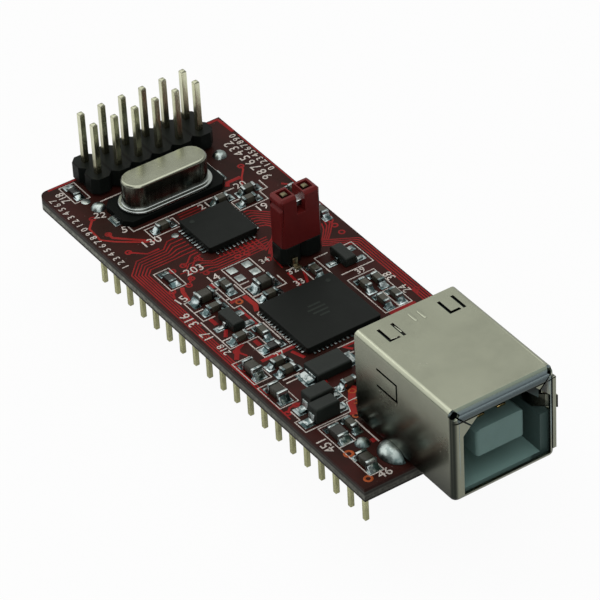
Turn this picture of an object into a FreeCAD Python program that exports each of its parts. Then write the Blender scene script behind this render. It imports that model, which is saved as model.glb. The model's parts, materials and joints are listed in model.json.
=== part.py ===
import math
import os
import FreeCAD, Part

V = FreeCAD.Vector

# Everything is in millimetres. Board coordinates: x from the header end, y from the centre line, z = 0 on the top face
PITCH = 2.54
BOARD_T = 1.6
BOARD_R = 1.0

# Dual in-line pin rows under the board
DIP_COUNT = 20
DIP_FIRST_X = 6.0
DIP_ROW_GAP = 15.24
ROW_MARGIN = 3.81
DIP_TIP = 9.8
DIP_PIN = 0.5
DIP_PIN_TIP = 0.12
DIP_PIN_TOP = 0.35
DIP_HOLE_R = 0.4
STRIP_H = 2.54
STRIP_W = 2.5
STRIP_NOTCH = 0.45
DOME_R = 0.85
DOME_H = 0.55

# Two-row port header
HEADER_X = 0.75
HEADER_Y = -5.8
HEADER_COUNT = 6
HEADER_SEAT = 0.35
HEADER_H = 1.9
HEADER_TOP = 8.5
HEADER_TAIL = 3.1
CELL_CUT = 0.65
KEEL_IN = 0.37
POST = 0.64
POST_TIP = 0.16
POST_HOLE_R = 0.5
TAIL_SOLDER_R = 0.85
TAIL_SOLDER_H = 0.7

# Crystal
XTAL_X = 8.75
XTAL_Y = -0.98
CAN_L = 10.1
CAN_W = 3.5
CAN_TOP = 4.1
CAN_EDGE = 0.3
FLANGE_L = 11.0
FLANGE_W = 4.7
FLANGE_T = 0.4
XTAL_BASE_L = 12.6
XTAL_BASE_W = 5.0
XTAL_BASE_H = 0.75
XTAL_BASE_CUT = 0.8
XTAL_LEAD_X = 9.1
XTAL_LEAD_W = 1.4
XTAL_LEAD_T = 0.3
XTAL_LEAD_OUT = 0.5
XTAL_LEAD_IN = 2.0

# Flat chips
MCU_X = 17.1
MCU_Y = 0.17
MCU_SIDE = 6.0
MCU_COUNT = 10
MCU_LEAD_OUT = 0.5
BRIDGE_X = 35.4
BRIDGE_Y = 0.32
BRIDGE_SIDE = 9.0
BRIDGE_COUNT = 16
BRIDGE_LEAD_OUT = 0.3
CHIP_TOP = 0.9
CHIP_SEAT = 0.2
CHIP_PITCH = 0.5
CHIP_EDGE = 0.06
LEAD_W = 0.24
LEAD_IN = 0.4
BELLY_GAP = 0.5

# Option jumper
JUMP_X = 25.5
JUMP_Y = 4.37
JUMP_W = 2.5
JUMP_CUT = 0.5
JUMP_H = 2.35
JUMP_SEAT = 0.3
JUMP_TOP = 8.45
JUMP_FOOT = 0.9
JUMP_HEEL = 0.3
JUMP_HEEL_H = 1.05
SHUNT_X = 2.4
SHUNT_Y = 4.8
SHUNT_H = 6.0
SHUNT_EDGE = 0.28
SHUNT_WELL = 1.24
SHUNT_GAP = 1.0
SHUNT_GAP_H = 1.35
SHUNT_WINDOW_H = 2.3
GRIP_Z = 1.15
GRIP_H = 0.35
GRIP_D = 0.25
CLIP_T = 0.15
CLIP_CLEAR = 0.05
CLIP_LOW = 0.6
CLIP_H = 4.2
CLIP_BRIDGE = 0.6

# Socket for the square plug
USB_BACK_GAP = 3.06
USB_SEAT_L = 8.8
USB_LEN = 16.0
USB_W = 12.04
USB_Z = 0.15
USB_H = 10.9
SHEET = 0.3
USB_BEND = 0.6
LIP_NEAR = 1.2
LIP_FAR = 0.65
LIP_TOP = 1.15
LIP_LOW = 0.7
LIP_BEND = 0.8
LIP_DEPTH = 2.0
MOUTH_BEVEL = 1.9
NOTCH = 0.65
NOTCH_W = 0.6
NOTCH_DEPTH = 0.75
SLIT_END = 2.3
SLIT_W = 0.12
FLARE = 0.1
FLARE_L = 1.0
FLARE_LOW = 1.0
FLARE_TOP = 1.2
TOP_SLOT_X = 1.15
TOP_SLOT_YS = (-3.23, 3.88)
TOP_SLOT_L = 2.25
TOP_SLOT_W = 1.6
TOP_SLOT_END = 1.15
TOP_SLOT_CUT = 0.34
SIDE_SLOT_X = 3.6
SIDE_SLOT_L = 3.4
SIDE_SLOT_Z = 6.65
SIDE_SLOT_H = 2.0
SLOT_CUT = 0.26
FINGER_Z = 5.55
FINGER_H = 1.5
FINGER_L = 5.6
FINGER_IN = 1.2
FINGER_OUT = 0.5
FINGER_T = 0.25
FINGER_CLEAR = 0.1
TAB_BACK = 5.4
TAB_W = 2.2
TAB_TIP_W = 1.0
TAB_LEN = 3.2
TAB_HOLE_R = 1.25
BODY_FRONT = 0.7
CAVITY_W = 9.2
CAVITY_H = 8.3
CAVITY_Z = 0.95
CAVITY_BEVEL = 1.7
CAVITY_L = 9.3
TONGUE_W = 5.6
TONGUE_H = 3.2
TONGUE_Z = 4.0
TONGUE_L = 8.6
TONGUE_EDGE = 0.4
FOOT_BACK = 1.0
FOOT_L = 5.0
FOOT_SIDE = 1.7
FOOT_GAP = 0.2
CONTACT_W = 1.0
CONTACT_T = 0.25
CONTACT_Y = 1.25
CONTACT_BACK = 1.5
CONTACT_LEG = 0.6
USB_PIN_BACK = 1.5
USB_PIN_STEP = 2.0
USB_PIN_HOLE_R = 0.48
USB_TAIL = 3.0
SHELL_SOLDER_X = 0.7
SHELL_SOLDER_L = 4.1
SHELL_SOLDER_R = 1.65
SHELL_SOLDER_H = 1.1
UNDER_SOLDER_H = 0.6
UNDER_PIN_R = 0.85
UNDER_TAB_R = 1.5

# Chip parts: length, width, height
CAP_S = (1.6, 0.8, 0.8)
CAP_L = (2.0, 1.25, 1.1)
RES_S = (1.6, 0.85, 0.45)
BEAD_S = (2.0, 1.25, 0.85)
CAP_CLOSE = 1.25
CAP_BESIDE = 3.1
CAP_BELOW = 1.6
RES_BELOW = 2.05
CAP_ROW_1 = 1.95
CAP_ROW_2 = 3.5
SOCKET_CAP_X = 0.3
SOCKET_CAP_Y = 1.06
TAB_CAP_X = 0.4
TAB_CAP_Y = 3.06
BEAD_X = 0.7
BEAD_Y = 2.81
END_LEN = 0.35
END_GROW = 0.03
JOINT_LEN = 0.55
JOINT_HIGH = 0.6

# Three-legged and two-ended black parts
SOT_L = 2.9
SOT_W = 1.35
SOT_TOP = 1.1
SOT_SEAT = 0.1
SOT_SPAN = 2.5
SOT_LEG = 0.42
SOT_LEG_T = 0.14
SOT_LEG_STEP = 0.95
SOT_LEG_H = 0.6
SOT_EDGE = 0.12
DIODE_SEAT = 0.05
DIODE_EDGE = 0.15
DIODE_LEG_T = 0.2
DIODE_LEG_OUT = 0.95
DIODE_LEG_IN = 0.7

os.makedirs("parts", exist_ok=True)

# The board follows the pin rows and the socket
DIP_LAST_X = DIP_FIRST_X + PITCH * (DIP_COUNT - 1)
USB_BACK = DIP_LAST_X - USB_BACK_GAP
USB_FRONT = USB_BACK + USB_LEN
USB_Y0 = -USB_W / 2
USB_Y1 = USB_W / 2
USB_TOP = USB_Z + USB_H
USB_TAB_X = USB_BACK + TAB_BACK
BOARD_L = USB_BACK + USB_SEAT_L
BOARD_W = DIP_ROW_GAP + 2 * ROW_MARGIN
NEAR_ROW = -DIP_ROW_GAP / 2
FAR_ROW = DIP_ROW_GAP / 2
HEADER_BACK = HEADER_X - PITCH / 2
DIP_XS = [DIP_FIRST_X + PITCH * i for i in range(DIP_COUNT)]
HEADER_XS = [HEADER_X, HEADER_X + PITCH]
HEADER_YS = [HEADER_Y + PITCH * i for i in range(HEADER_COUNT)]
JUMP_YS = [JUMP_Y - PITCH / 2, JUMP_Y + PITCH / 2]
USB_PINS = [(USB_BACK + USB_PIN_BACK + USB_PIN_STEP * r, s * CONTACT_Y, r) for r in (0, 1) for s in (-1, 1)]
CHIP_LOW = BRIDGE_Y - BRIDGE_SIDE / 2
CHIP_HIGH = BRIDGE_Y + BRIDGE_SIDE / 2
CHIP_LEFT = BRIDGE_X - BRIDGE_SIDE / 2

# Where the chip parts lie: x, y, long axis
SMALL_CAPS = [(13.2, -4.13, "y"), (13.0, 3.17, "y"), (13.2, 6.47, "y"), (14.8, 5.52, "y"), (16.4, 10.17, "x"),
              (21.2, 10.32, "x"), (CHIP_LEFT - CAP_CLOSE, -1.73, "y"), (25.65, -4.58, "x"), (28.0, -7.53, "y"),
              (33.6, -8.03, "y"), (34.2, CHIP_LOW - CAP_BELOW, "x"), (39.2, -7.28, "y"), (40.75, -7.18, "y"),
              (46.1, -3.53, "y"), (USB_BACK + SOCKET_CAP_X, USB_Y0 - SOCKET_CAP_Y, "x"), (29.1, 4.12, "x"),
              (34.2, CHIP_HIGH + CAP_ROW_2, "x"), (37.4, CHIP_HIGH + CAP_ROW_2, "x"),
              (34.2, CHIP_HIGH + CAP_ROW_1, "x"), (37.4, CHIP_HIGH + CAP_ROW_1, "x")]
LARGE_CAPS = [(CHIP_LEFT - CAP_BESIDE, -1.33, "y"), (26.0, -7.38, "y"), (38.6, -9.98, "x"), (43.2, -10.03, "x"),
              (USB_TAB_X + TAB_CAP_X, USB_Y0 - TAB_CAP_Y, "x")]
RESISTORS = [(2.2, -8.28, "x"), (21.0, -8.43, "x"), (36.6, CHIP_LOW - RES_BELOW, "y")]
BEADS = [(USB_BACK + BEAD_X, USB_Y0 - BEAD_Y, "x")]
TRANSISTORS = [("transistor_near", 30.95, -7.38), ("transistor_far", 29.0, 7.67)]

# Two-ended parts: x, y, width, length, height, leg width
DIODES = [("power_diode", 42.85, -3.78, 2.6, 4.1, 1.05, 1.8),
          ("guard_diode", 46.6, -7.58, 1.7, 2.8, 1.85, 0.9),
          ("signal_diode", 48.55, -8.18, 1.6, 2.8, 1.8, 0.9)]

# The row frame has its origin at the bottom centre of the whole module
SHIFT = V(-(HEADER_BACK + USB_FRONT) / 2, 0, DIP_TIP)


def box(x0, y0, z0, x1, y1, z1):
    return Part.makeBox(x1 - x0, y1 - y0, z1 - z0, V(x0, y0, z0))


def block_at(x, y, z0, z1, dx, dy):
    return box(x - dx / 2, y - dy / 2, z0, x + dx / 2, y + dy / 2, z1)


def prism(pts, z0, z1):
    wire = Part.makePolygon([V(x, y, z0) for x, y in pts + pts[:1]])
    return Part.Face(wire).extrude(V(0, 0, z1 - z0))


def slab_x(pts, x0, x1):
    wire = Part.makePolygon([V(x0, y, z) for y, z in pts + pts[:1]])
    return Part.Face(wire).extrude(V(x1 - x0, 0, 0))


def slab_y(pts, y0, y1):
    wire = Part.makePolygon([V(x, y0, z) for x, z in pts + pts[:1]])
    return Part.Face(wire).extrude(V(0, y1 - y0, 0))


def cut_corners(x0, y0, x1, y1, c):
    return [(x0, y0 + c), (x0 + c, y0), (x1 - c, y0), (x1, y0 + c), (x1, y1 - c), (x1 - c, y1), (x0 + c, y1), (x0, y1 - c)]


def ring(x, y, z, r, sides, stretch):
    turns = [2 * math.pi * (i + 0.5) / sides for i in range(sides)]
    pts = [V(x + stretch * r * math.cos(a), y + r * math.sin(a), z) for a in turns]
    return Part.makePolygon(pts + pts[:1])


def turned_solid(x, y, levels, sides=12, stretch=1.0):
    return Part.makeLoft([ring(x, y, z, r, sides, stretch) for z, r in levels], True, True)


def hole(x, y, r):
    return turned_solid(x, y, [(-BOARD_T * 1.5, r), (BOARD_T / 2, r)])


def fuse(items):
    out = items[0].multiFuse(items[1:]) if len(items) > 1 else items[0]
    return out.removeSplitter()


def top_edges(shape, z):
    return [e for e in shape.Edges if all(abs(v.Z - z) < 1e-6 for v in e.Vertexes)]


def front_ring(shape, x):
    return [e for e in shape.Edges if all(abs(v.X - x) < 1e-6 for v in e.Vertexes)]


def along_x(shape):
    return [e for e in shape.Edges if abs(e.Vertexes[0].Y - e.Vertexes[1].Y) < 1e-6
            and abs(e.Vertexes[0].Z - e.Vertexes[1].Z) < 1e-6]


def bevel_top(shape, z, size):
    return shape.makeChamfer(size, top_edges(shape, z))


def post(x, y, z0, z1, side, tip):
    bar = block_at(x, y, z0, z1, side, side)
    return bar.makeChamfer(tip, top_edges(bar, z1) + top_edges(bar, z0))


def obround(cx, cy, z0, z1, length, width):
    r = width / 2
    half = length / 2 - r
    core = box(cx - r, cy - half, z0, cx + r, cy + half, z1)
    ends = [Part.makeCylinder(r, z1 - z0, V(cx, cy + s * half, z0)) for s in (-1, 1)]
    return fuse([core] + ends)


def turned(x, y, axis, dx0, dy0, z0, dx1, dy1, z1):
    if axis == "x":
        return box(x + dx0, y + dy0, z0, x + dx1, y + dy1, z1)
    return box(x + dy0, y + dx0, z0, x + dy1, y + dx1, z1)


def save(name, shapes):
    group = shapes if isinstance(shapes, list) else [shapes]
    group = [s for g in group for s in (g.Solids if g.Solids else [g])]
    out = group[0] if len(group) == 1 else Part.makeCompound(group)
    out = out.copy()
    out.translate(SHIFT)
    out.exportStep("parts/" + name + ".step")
    print(name, len(group), round(out.Volume, 2))


# Board with its drilled holes; the near corner at the header end is rounded
board = box(0, -BOARD_W / 2, -BOARD_T, BOARD_L, BOARD_W / 2, 0)
corner = [e for e in board.Edges if abs(e.Vertexes[0].X) < 1e-6 and abs(e.Vertexes[1].X) < 1e-6
          and abs(e.Vertexes[0].Y + BOARD_W / 2) < 1e-6 and abs(e.Vertexes[1].Y + BOARD_W / 2) < 1e-6]
board = board.makeFillet(BOARD_R, corner)
drills = [hole(x, y, POST_HOLE_R) for x in HEADER_XS for y in HEADER_YS]
drills += [hole(x, y, DIP_HOLE_R) for x in (DIP_XS[0], DIP_XS[-1]) for y in (NEAR_ROW, FAR_ROW)]
drills += [hole(x, y, USB_PIN_HOLE_R) for x, y, r in USB_PINS]
drills += [hole(USB_TAB_X, s * (USB_W - SHEET) / 2, TAB_HOLE_R) for s in (-1, 1)]
save("circuit_board", board.cut(Part.makeCompound(drills)))

# Pin strips under the board; only the corner pins pass through it
strips = []
for name, row in (("near", NEAR_ROW), ("far", FAR_ROW)):
    half = STRIP_W / 2
    outline = []
    for side in (-1, 1):
        pts = [(DIP_XS[0] - PITCH / 2, row + side * (half - STRIP_NOTCH))]
        for x in DIP_XS:
            pts += [(x - PITCH / 2 + STRIP_NOTCH, row + side * half), (x + PITCH / 2 - STRIP_NOTCH, row + side * half),
                    (x + PITCH / 2, row + side * (half - STRIP_NOTCH))]
        outline += pts if side < 0 else pts[::-1]
    strip = prism(outline, -BOARD_T - STRIP_H, -BOARD_T)
    strips.append(strip)
    pins = []
    for x in DIP_XS:
        end = DIP_PIN_TOP if x in (DIP_XS[0], DIP_XS[-1]) else -BOARD_T
        bar = block_at(x, row, -DIP_TIP, end, DIP_PIN, DIP_PIN)
        pins.append(bar.makeChamfer(DIP_PIN_TIP, top_edges(bar, -DIP_TIP)))
    save("dip_strip_" + name, strip.cut(Part.makeCompound(pins)))
    save("dip_pins_" + name, pins)

# Port header: octagonal cells side by side, square posts through the board
h = PITCH / 2
z0, z1 = HEADER_SEAT, HEADER_SEAT + HEADER_H
cells = [prism(cut_corners(x - h, y - h, x + h, y + h, CELL_CUT), z0, z1) for x in HEADER_XS for y in HEADER_YS]
spine = box(HEADER_XS[0], HEADER_YS[0], z0, HEADER_XS[1], HEADER_YS[-1], z1)
keel = box(HEADER_XS[0] + h - KEEL_IN, HEADER_YS[0] - h + KEEL_IN, 0, HEADER_XS[1] - h + KEEL_IN, HEADER_YS[-1] + h - KEEL_IN, z0)
housing = fuse(cells + [spine, keel])
rows = [[post(x, y, -HEADER_TAIL, HEADER_TOP, POST, POST_TIP) for y in HEADER_YS] for x in HEADER_XS]
save("header_housing", housing.cut(Part.makeCompound(rows[0] + rows[1])))
save("header_posts_back", rows[0])
save("header_posts_front", rows[1])
tails = []
for x in HEADER_XS:
    wide = min(TAIL_SOLDER_R, x - 0.05)
    for y in HEADER_YS:
        cone = turned_solid(x, y, [(-BOARD_T - TAIL_SOLDER_H, wide * 0.75), (-BOARD_T, wide)], 8)
        tails.append(cone.cut(block_at(x, y, -HEADER_TAIL, 0, POST, POST)))
save("header_tail_solder", tails)

# Crystal: rounded can on a flange, a black seat and two flat leads
can = obround(XTAL_X, XTAL_Y, XTAL_BASE_H + FLANGE_T, CAN_TOP, CAN_L, CAN_W)
can = bevel_top(can, CAN_TOP, CAN_EDGE)
flange = obround(XTAL_X, XTAL_Y, XTAL_BASE_H, XTAL_BASE_H + FLANGE_T, FLANGE_L, FLANGE_W)
save("crystal_can", fuse([flange, can]))
leads = []
for s in (-1, 1):
    a, b = sorted((XTAL_Y + s * (XTAL_BASE_L / 2 - XTAL_LEAD_IN), XTAL_Y + s * (XTAL_BASE_L / 2 + XTAL_LEAD_OUT)))
    leads.append(box(XTAL_LEAD_X - XTAL_LEAD_W / 2, a, 0, XTAL_LEAD_X + XTAL_LEAD_W / 2, b, XTAL_LEAD_T))
hw, hl = XTAL_BASE_W / 2, XTAL_BASE_L / 2
seat = prism(cut_corners(XTAL_X - hw, XTAL_Y - hl, XTAL_X + hw, XTAL_Y + hl, XTAL_BASE_CUT), 0, XTAL_BASE_H)
save("crystal_seat", seat.cut(Part.makeCompound(leads)))
save("crystal_leads", leads)

# Solder on the corner pins, kept off the crystal's seat
domes = []
for x in (DIP_XS[0], DIP_XS[-1]):
    for y in (NEAR_ROW, FAR_ROW):
        dome = turned_solid(x, y, [(0, DOME_R), (DOME_H * 0.55, DOME_R * 0.8), (DOME_H, DOME_R * 0.4)])
        domes.append(dome.cut(block_at(x, y, -BOARD_T, DIP_PIN_TOP, DIP_PIN, DIP_PIN)).cut(seat))
save("corner_pin_solder", domes)

# Flat chips with a ring of leads and a belly pad
for name, cx, cy, side, count, reach in (("microcontroller", MCU_X, MCU_Y, MCU_SIDE, MCU_COUNT, MCU_LEAD_OUT),
                                         ("usb_bridge_chip", BRIDGE_X, BRIDGE_Y, BRIDGE_SIDE, BRIDGE_COUNT, BRIDGE_LEAD_OUT)):
    half = side / 2
    save(name, bevel_top(block_at(cx, cy, CHIP_SEAT, CHIP_TOP, side, side), CHIP_TOP, CHIP_EDGE))
    belly = side - 2 * (LEAD_IN + BELLY_GAP)
    metal = [block_at(cx, cy, 0, CHIP_SEAT, belly, belly)]
    for i in range(count):
        t = (i - (count - 1) / 2) * CHIP_PITCH
        for s in (-1, 1):
            a, b = sorted((s * (half - LEAD_IN), s * (half + reach)))
            metal.append(box(cx + t - LEAD_W / 2, cy + a, 0, cx + t + LEAD_W / 2, cy + b, CHIP_SEAT))
            metal.append(box(cx + a, cy + t - LEAD_W / 2, 0, cx + b, cy + t + LEAD_W / 2, CHIP_SEAT))
    save(name + "_leads", metal)

# Option jumper: surface-mounted posts in a black base, feet to opposite sides
jw = JUMP_W / 2
base = fuse([prism(cut_corners(JUMP_X - jw, y - PITCH / 2, JUMP_X + jw, y + PITCH / 2, JUMP_CUT), JUMP_SEAT, JUMP_H)
             for y in JUMP_YS])
posts = []
for y, side in zip(JUMP_YS, (1, -1)):
    bar = block_at(JUMP_X, y, 0, JUMP_TOP, POST, POST)
    bar = bar.makeChamfer(POST_TIP, top_edges(bar, JUMP_TOP))
    a, b = sorted((0, side * (jw + JUMP_FOOT)))
    foot = box(JUMP_X + a, y - POST / 2, 0, JUMP_X + b, y + POST / 2, JUMP_SEAT)
    c, d = sorted((side * jw, side * (jw + JUMP_HEEL)))
    heel = box(JUMP_X + c, y - POST / 2, 0, JUMP_X + d, y + POST / 2, JUMP_HEEL_H)
    posts.append(fuse([bar, foot, heel]))
save("jumper_base", base.cut(Part.makeCompound(posts)))
save("jumper_posts", posts)

# Shunt: slides up off the posts, with its spring clip inside
z0, z1 = JUMP_H, JUMP_H + SHUNT_H
sx, sy = SHUNT_X / 2, SHUNT_Y / 2
cap = block_at(JUMP_X, JUMP_Y, z0, z1, SHUNT_X, SHUNT_Y)
cap = cap.makeChamfer(SHUNT_EDGE, [e for e in cap.Edges if max(v.Z for v in e.Vertexes) > z1 - 1e-6])
wells = [block_at(JUMP_X, y, z0 - 1, z1 + 1, SHUNT_WELL, SHUNT_WELL) for y in JUMP_YS]
gap = block_at(JUMP_X, JUMP_Y, z1 - SHUNT_GAP_H, z1 + 1, SHUNT_X + 1, SHUNT_GAP)
window = box(JUMP_X, JUMP_Y - SHUNT_GAP / 2, z1 - SHUNT_WINDOW_H, JUMP_X + sx + 1, JUMP_Y + SHUNT_GAP / 2, z1 - SHUNT_GAP_H + 0.1)
grips = [slab_x([(JUMP_Y + s * sy, z1 - GRIP_Z - GRIP_H), (JUMP_Y + s * sy, z1 - GRIP_Z + GRIP_H),
                 (JUMP_Y + s * (sy - GRIP_D), z1 - GRIP_Z)], JUMP_X - SHUNT_X, JUMP_X + SHUNT_X) for s in (-1, 1)]
for tool in wells + [gap, window] + grips:
    cap = cap.cut(tool)
inner = POST + 2 * CLIP_CLEAR
outer = inner + 2 * CLIP_T
clip_z0, clip_z1 = z0 + CLIP_LOW, z0 + CLIP_LOW + CLIP_H
tubes = [block_at(JUMP_X, y, clip_z0, clip_z1, outer, outer) for y in JUMP_YS]
tubes.append(block_at(JUMP_X, JUMP_Y, clip_z1 - CLIP_BRIDGE, clip_z1, outer, PITCH + outer))
filled = fuse(tubes)
clip = filled
for y in JUMP_YS:
    clip = clip.cut(block_at(JUMP_X, y, z0, z1, inner, inner))
save("jumper_shunt", cap.cut(filled))
save("shunt_clip", clip)

# Socket shell: bent sheet with inward lips round the mouth
out_box = box(USB_BACK, USB_Y0, USB_Z, USB_FRONT, USB_Y1, USB_TOP)
in_box = box(USB_BACK + SHEET, USB_Y0 + SHEET, USB_Z + SHEET, USB_FRONT - SHEET, USB_Y1 - SHEET, USB_TOP - SHEET)
skin = out_box.makeFillet(USB_BEND, along_x(out_box))
skin = skin.makeFillet(LIP_BEND, front_ring(skin, USB_FRONT))
room = in_box.makeFillet(USB_BEND - SHEET, along_x(in_box))
room = room.makeFillet(LIP_BEND - SHEET, front_ring(room, USB_FRONT - SHEET))
my0, my1, mz0, mz1 = USB_Y0 + LIP_NEAR, USB_Y1 - LIP_FAR, USB_Z + LIP_LOW, USB_TOP - LIP_TOP
mb = MOUTH_BEVEL
mouth = slab_x([(my0, mz0), (my1, mz0), (my1, mz1 - mb), (my1 - mb, mz1), (my0 + mb, mz1), (my0, mz1 - mb)],
               USB_FRONT - LIP_DEPTH, USB_FRONT + 1)
foot_x0, foot_x1 = USB_BACK + FOOT_BACK, USB_BACK + FOOT_BACK + FOOT_L
foot_y = USB_W / 2 - FOOT_SIDE
foot_window = box(foot_x0 - FOOT_GAP, -foot_y - FOOT_GAP, USB_Z - 1, foot_x1 + FOOT_GAP, foot_y + FOOT_GAP, USB_Z + SHEET)
cuts = [mouth, foot_window]
# Corner notches and mitre slits where the top lip meets the side lips
for s in (-1, 1):
    edge = s * USB_W / 2
    for start, end, half in ((-SHEET, NOTCH, NOTCH_W / 2), (NOTCH / 2, SLIT_END, SLIT_W / 2)):
        corners = [(start, half), (start, -half), (end, -half), (end, half)]
        cuts.append(slab_x([(edge - s * (t + w), USB_TOP - t + w) for t, w in corners],
                           USB_FRONT - NOTCH_DEPTH, USB_FRONT + 1))
# Tongue slots in the top and finger slots in both side walls
c = TOP_SLOT_CUT
sx0, sx1 = USB_BACK + TOP_SLOT_X, USB_BACK + TOP_SLOT_X + TOP_SLOT_L
for yc in TOP_SLOT_YS:
    for s in (-1, 1):
        cuts.append(box(sx0, yc + s * TOP_SLOT_W / 2 - c / 2, USB_TOP - 1, sx1, yc + s * TOP_SLOT_W / 2 + c / 2, USB_TOP + 1))
    cuts.append(box(sx1 - c, yc - TOP_SLOT_W / 2, USB_TOP - 1, sx1, yc - TOP_SLOT_W / 2 + TOP_SLOT_END, USB_TOP + 1))
c = SLOT_CUT
sx0, sx1 = USB_BACK + SIDE_SLOT_X, USB_BACK + SIDE_SLOT_X + SIDE_SLOT_L
sz0, sz1 = USB_Z + SIDE_SLOT_Z, USB_Z + SIDE_SLOT_Z + SIDE_SLOT_H
for y in (USB_Y0, USB_Y1):
    for z in (sz0, sz1):
        cuts.append(box(sx0, y - 2 * SHEET, z - c / 2, sx1, y + 2 * SHEET, z + c / 2))
    cuts.append(box(sx1 - c, y - 2 * SHEET, sz0, sx1, y + 2 * SHEET, sz1))
shell = skin.cut(room)
for tool in cuts:
    shell = shell.cut(tool)
# The far wall runs straight to the front edge, with a window for its finger
wall = USB_Y1 - SHEET
flare = prism([(USB_FRONT - FLARE_L, wall), (USB_FRONT - FLARE, wall), (USB_FRONT - FLARE, USB_Y1 + FLARE),
               (USB_FRONT - SHEET, USB_Y1 + FLARE), (USB_FRONT - FLARE_L, USB_Y1)], USB_Z + FLARE_LOW, USB_TOP - FLARE_TOP)
fz0, fz1 = USB_Z + FINGER_Z, USB_Z + FINGER_Z + FINGER_H
window = box(USB_FRONT - 1.9, wall - 0.1, fz0 - FINGER_CLEAR, USB_FRONT - FINGER_T, USB_Y1 + 1, fz1 + FINGER_CLEAR)
shell = fuse([shell, flare]).cut(window)
# Spring fingers inside both walls; the far one pokes out through its window
fingers = []
for s, tip in ((1, SHEET + FINGER_OUT), (-1, 0)):
    path = [(FINGER_L, 0.05), (FINGER_L - 2.3, -FINGER_IN), (2.0, 0.1 - FINGER_IN), (0.35, tip), (0.35 + FINGER_T, tip),
            (2.1, 0.1 + FINGER_T - FINGER_IN), (FINGER_L - 2.3, FINGER_T - FINGER_IN), (FINGER_L - 2 * FINGER_T, 0.05)]
    fingers.append(prism([(USB_FRONT - back, s * (wall + out)) for back, out in path], fz0, fz1))
# Tabs that run down through the board
tabs = []
for s in (-1, 1):
    y0, y1 = sorted((s * wall, s * USB_Y1))
    low = -TAB_LEN
    tabs.append(slab_y([(USB_TAB_X - TAB_W / 2, USB_Z + 1), (USB_TAB_X - TAB_W / 2, low + 0.8), (USB_TAB_X - TAB_TIP_W / 2, low),
                        (USB_TAB_X + TAB_TIP_W / 2, low), (USB_TAB_X + TAB_W / 2, low + 0.8), (USB_TAB_X + TAB_W / 2, USB_Z + 1)],
                       y0, y1))
shell = fuse([shell] + tabs + fingers)

# Insulator: block with the plug cavity, a tongue and a foot on the board
block = box(USB_BACK + SHEET, USB_Y0 + SHEET, USB_Z + SHEET, USB_FRONT - BODY_FRONT, USB_Y1 - SHEET, USB_TOP - SHEET)
block = block.common(room)
cw, cb = CAVITY_W / 2, CAVITY_BEVEL
cz0, cz1 = CAVITY_Z, CAVITY_Z + CAVITY_H
cavity_x = USB_FRONT - CAVITY_L
cavity = slab_x([(-cw, cz0), (cw, cz0), (cw, cz1 - cb), (cw - cb, cz1), (-cw + cb, cz1), (-cw, cz1 - cb)], cavity_x, USB_FRONT + 1)
tw, te = TONGUE_W / 2, TONGUE_EDGE
tz1 = TONGUE_Z + TONGUE_H
tip_x = cavity_x + TONGUE_L
tongue = slab_x([(-tw, TONGUE_Z), (tw, TONGUE_Z), (tw, tz1 - te), (tw - te, tz1), (-tw + te, tz1), (-tw, tz1 - te)], cavity_x - 1, tip_x)
tongue = tongue.makeFillet(te, [e for e in front_ring(tongue, tip_x) if abs(e.Vertexes[0].Y - e.Vertexes[1].Y) < 1e-6])
channel = box(USB_FRONT - FINGER_L - 0.3, USB_Y0, fz0 - 2 * FINGER_CLEAR, USB_FRONT, USB_Y1, USB_TOP)
channel = channel.cut(box(USB_BACK, -cw + 0.1, 0, USB_FRONT, cw - 0.1, USB_TOP))
foot = box(foot_x0, -foot_y, 0, foot_x1, foot_y, USB_Z + SHEET)
contacts = []
for x, y, r in USB_PINS:
    za, zb = (tz1, tz1 + CONTACT_T) if r == 0 else (TONGUE_Z - CONTACT_T, TONGUE_Z)
    strip = box(x - CONTACT_LEG / 2, y - CONTACT_W / 2, za, tip_x - CONTACT_BACK, y + CONTACT_W / 2, zb)
    leg = block_at(x, y, -USB_TAIL, zb, CONTACT_LEG, CONTACT_LEG)
    contacts.append(fuse([strip, leg]))
insulator = fuse([block.cut(cavity).cut(channel), tongue, foot]).cut(Part.makeCompound(contacts))
save("usb_shell", shell.cut(insulator))
save("usb_insulator", insulator)
for (x, y, r), contact in zip(USB_PINS, contacts):
    save("usb_contact_" + ("low_" if r else "high_") + ("near" if y < 0 else "far"), contact)

# Solder where the shell and contact legs meet the board
mounds = []
for s in (-1, 1):
    r, h = SHELL_SOLDER_R, SHELL_SOLDER_H
    mx, reach = USB_TAB_X + SHELL_SOLDER_X, SHELL_SOLDER_L
    levels = [(0, r), (h * 0.3, r * 0.94), (h * 0.65, r * 0.74), (h, r * 0.36)]
    mound = turned_solid(mx, s * USB_Y1, levels, 12, SHELL_SOLDER_L / (2 * r))
    y0, y1 = sorted((s * USB_Y1, s * (USB_Y1 + 2 * r)))
    mounds.append(mound.common(box(mx - reach, y0, 0, mx + reach, y1, 2 * h)))
save("shell_tab_solder", mounds)
beads = []
for x, y, r in USB_PINS:
    cone = turned_solid(x, y, [(-BOARD_T - UNDER_SOLDER_H, UNDER_PIN_R * 0.6), (-BOARD_T, UNDER_PIN_R)], 8)
    beads.append(cone.cut(block_at(x, y, -USB_TAIL, 0, CONTACT_LEG, CONTACT_LEG)))
for s in (-1, 1):
    y = s * (USB_W - SHEET) / 2
    cone = turned_solid(USB_TAB_X, y, [(-BOARD_T - UNDER_SOLDER_H, UNDER_TAB_R * 0.75), (-BOARD_T, UNDER_TAB_R)])
    beads.append(cone.cut(block_at(USB_TAB_X, y, -TAB_LEN, 0, TAB_W, SHEET)).cut(Part.makeCompound(strips)))
save("socket_underside_solder", beads)


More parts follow.
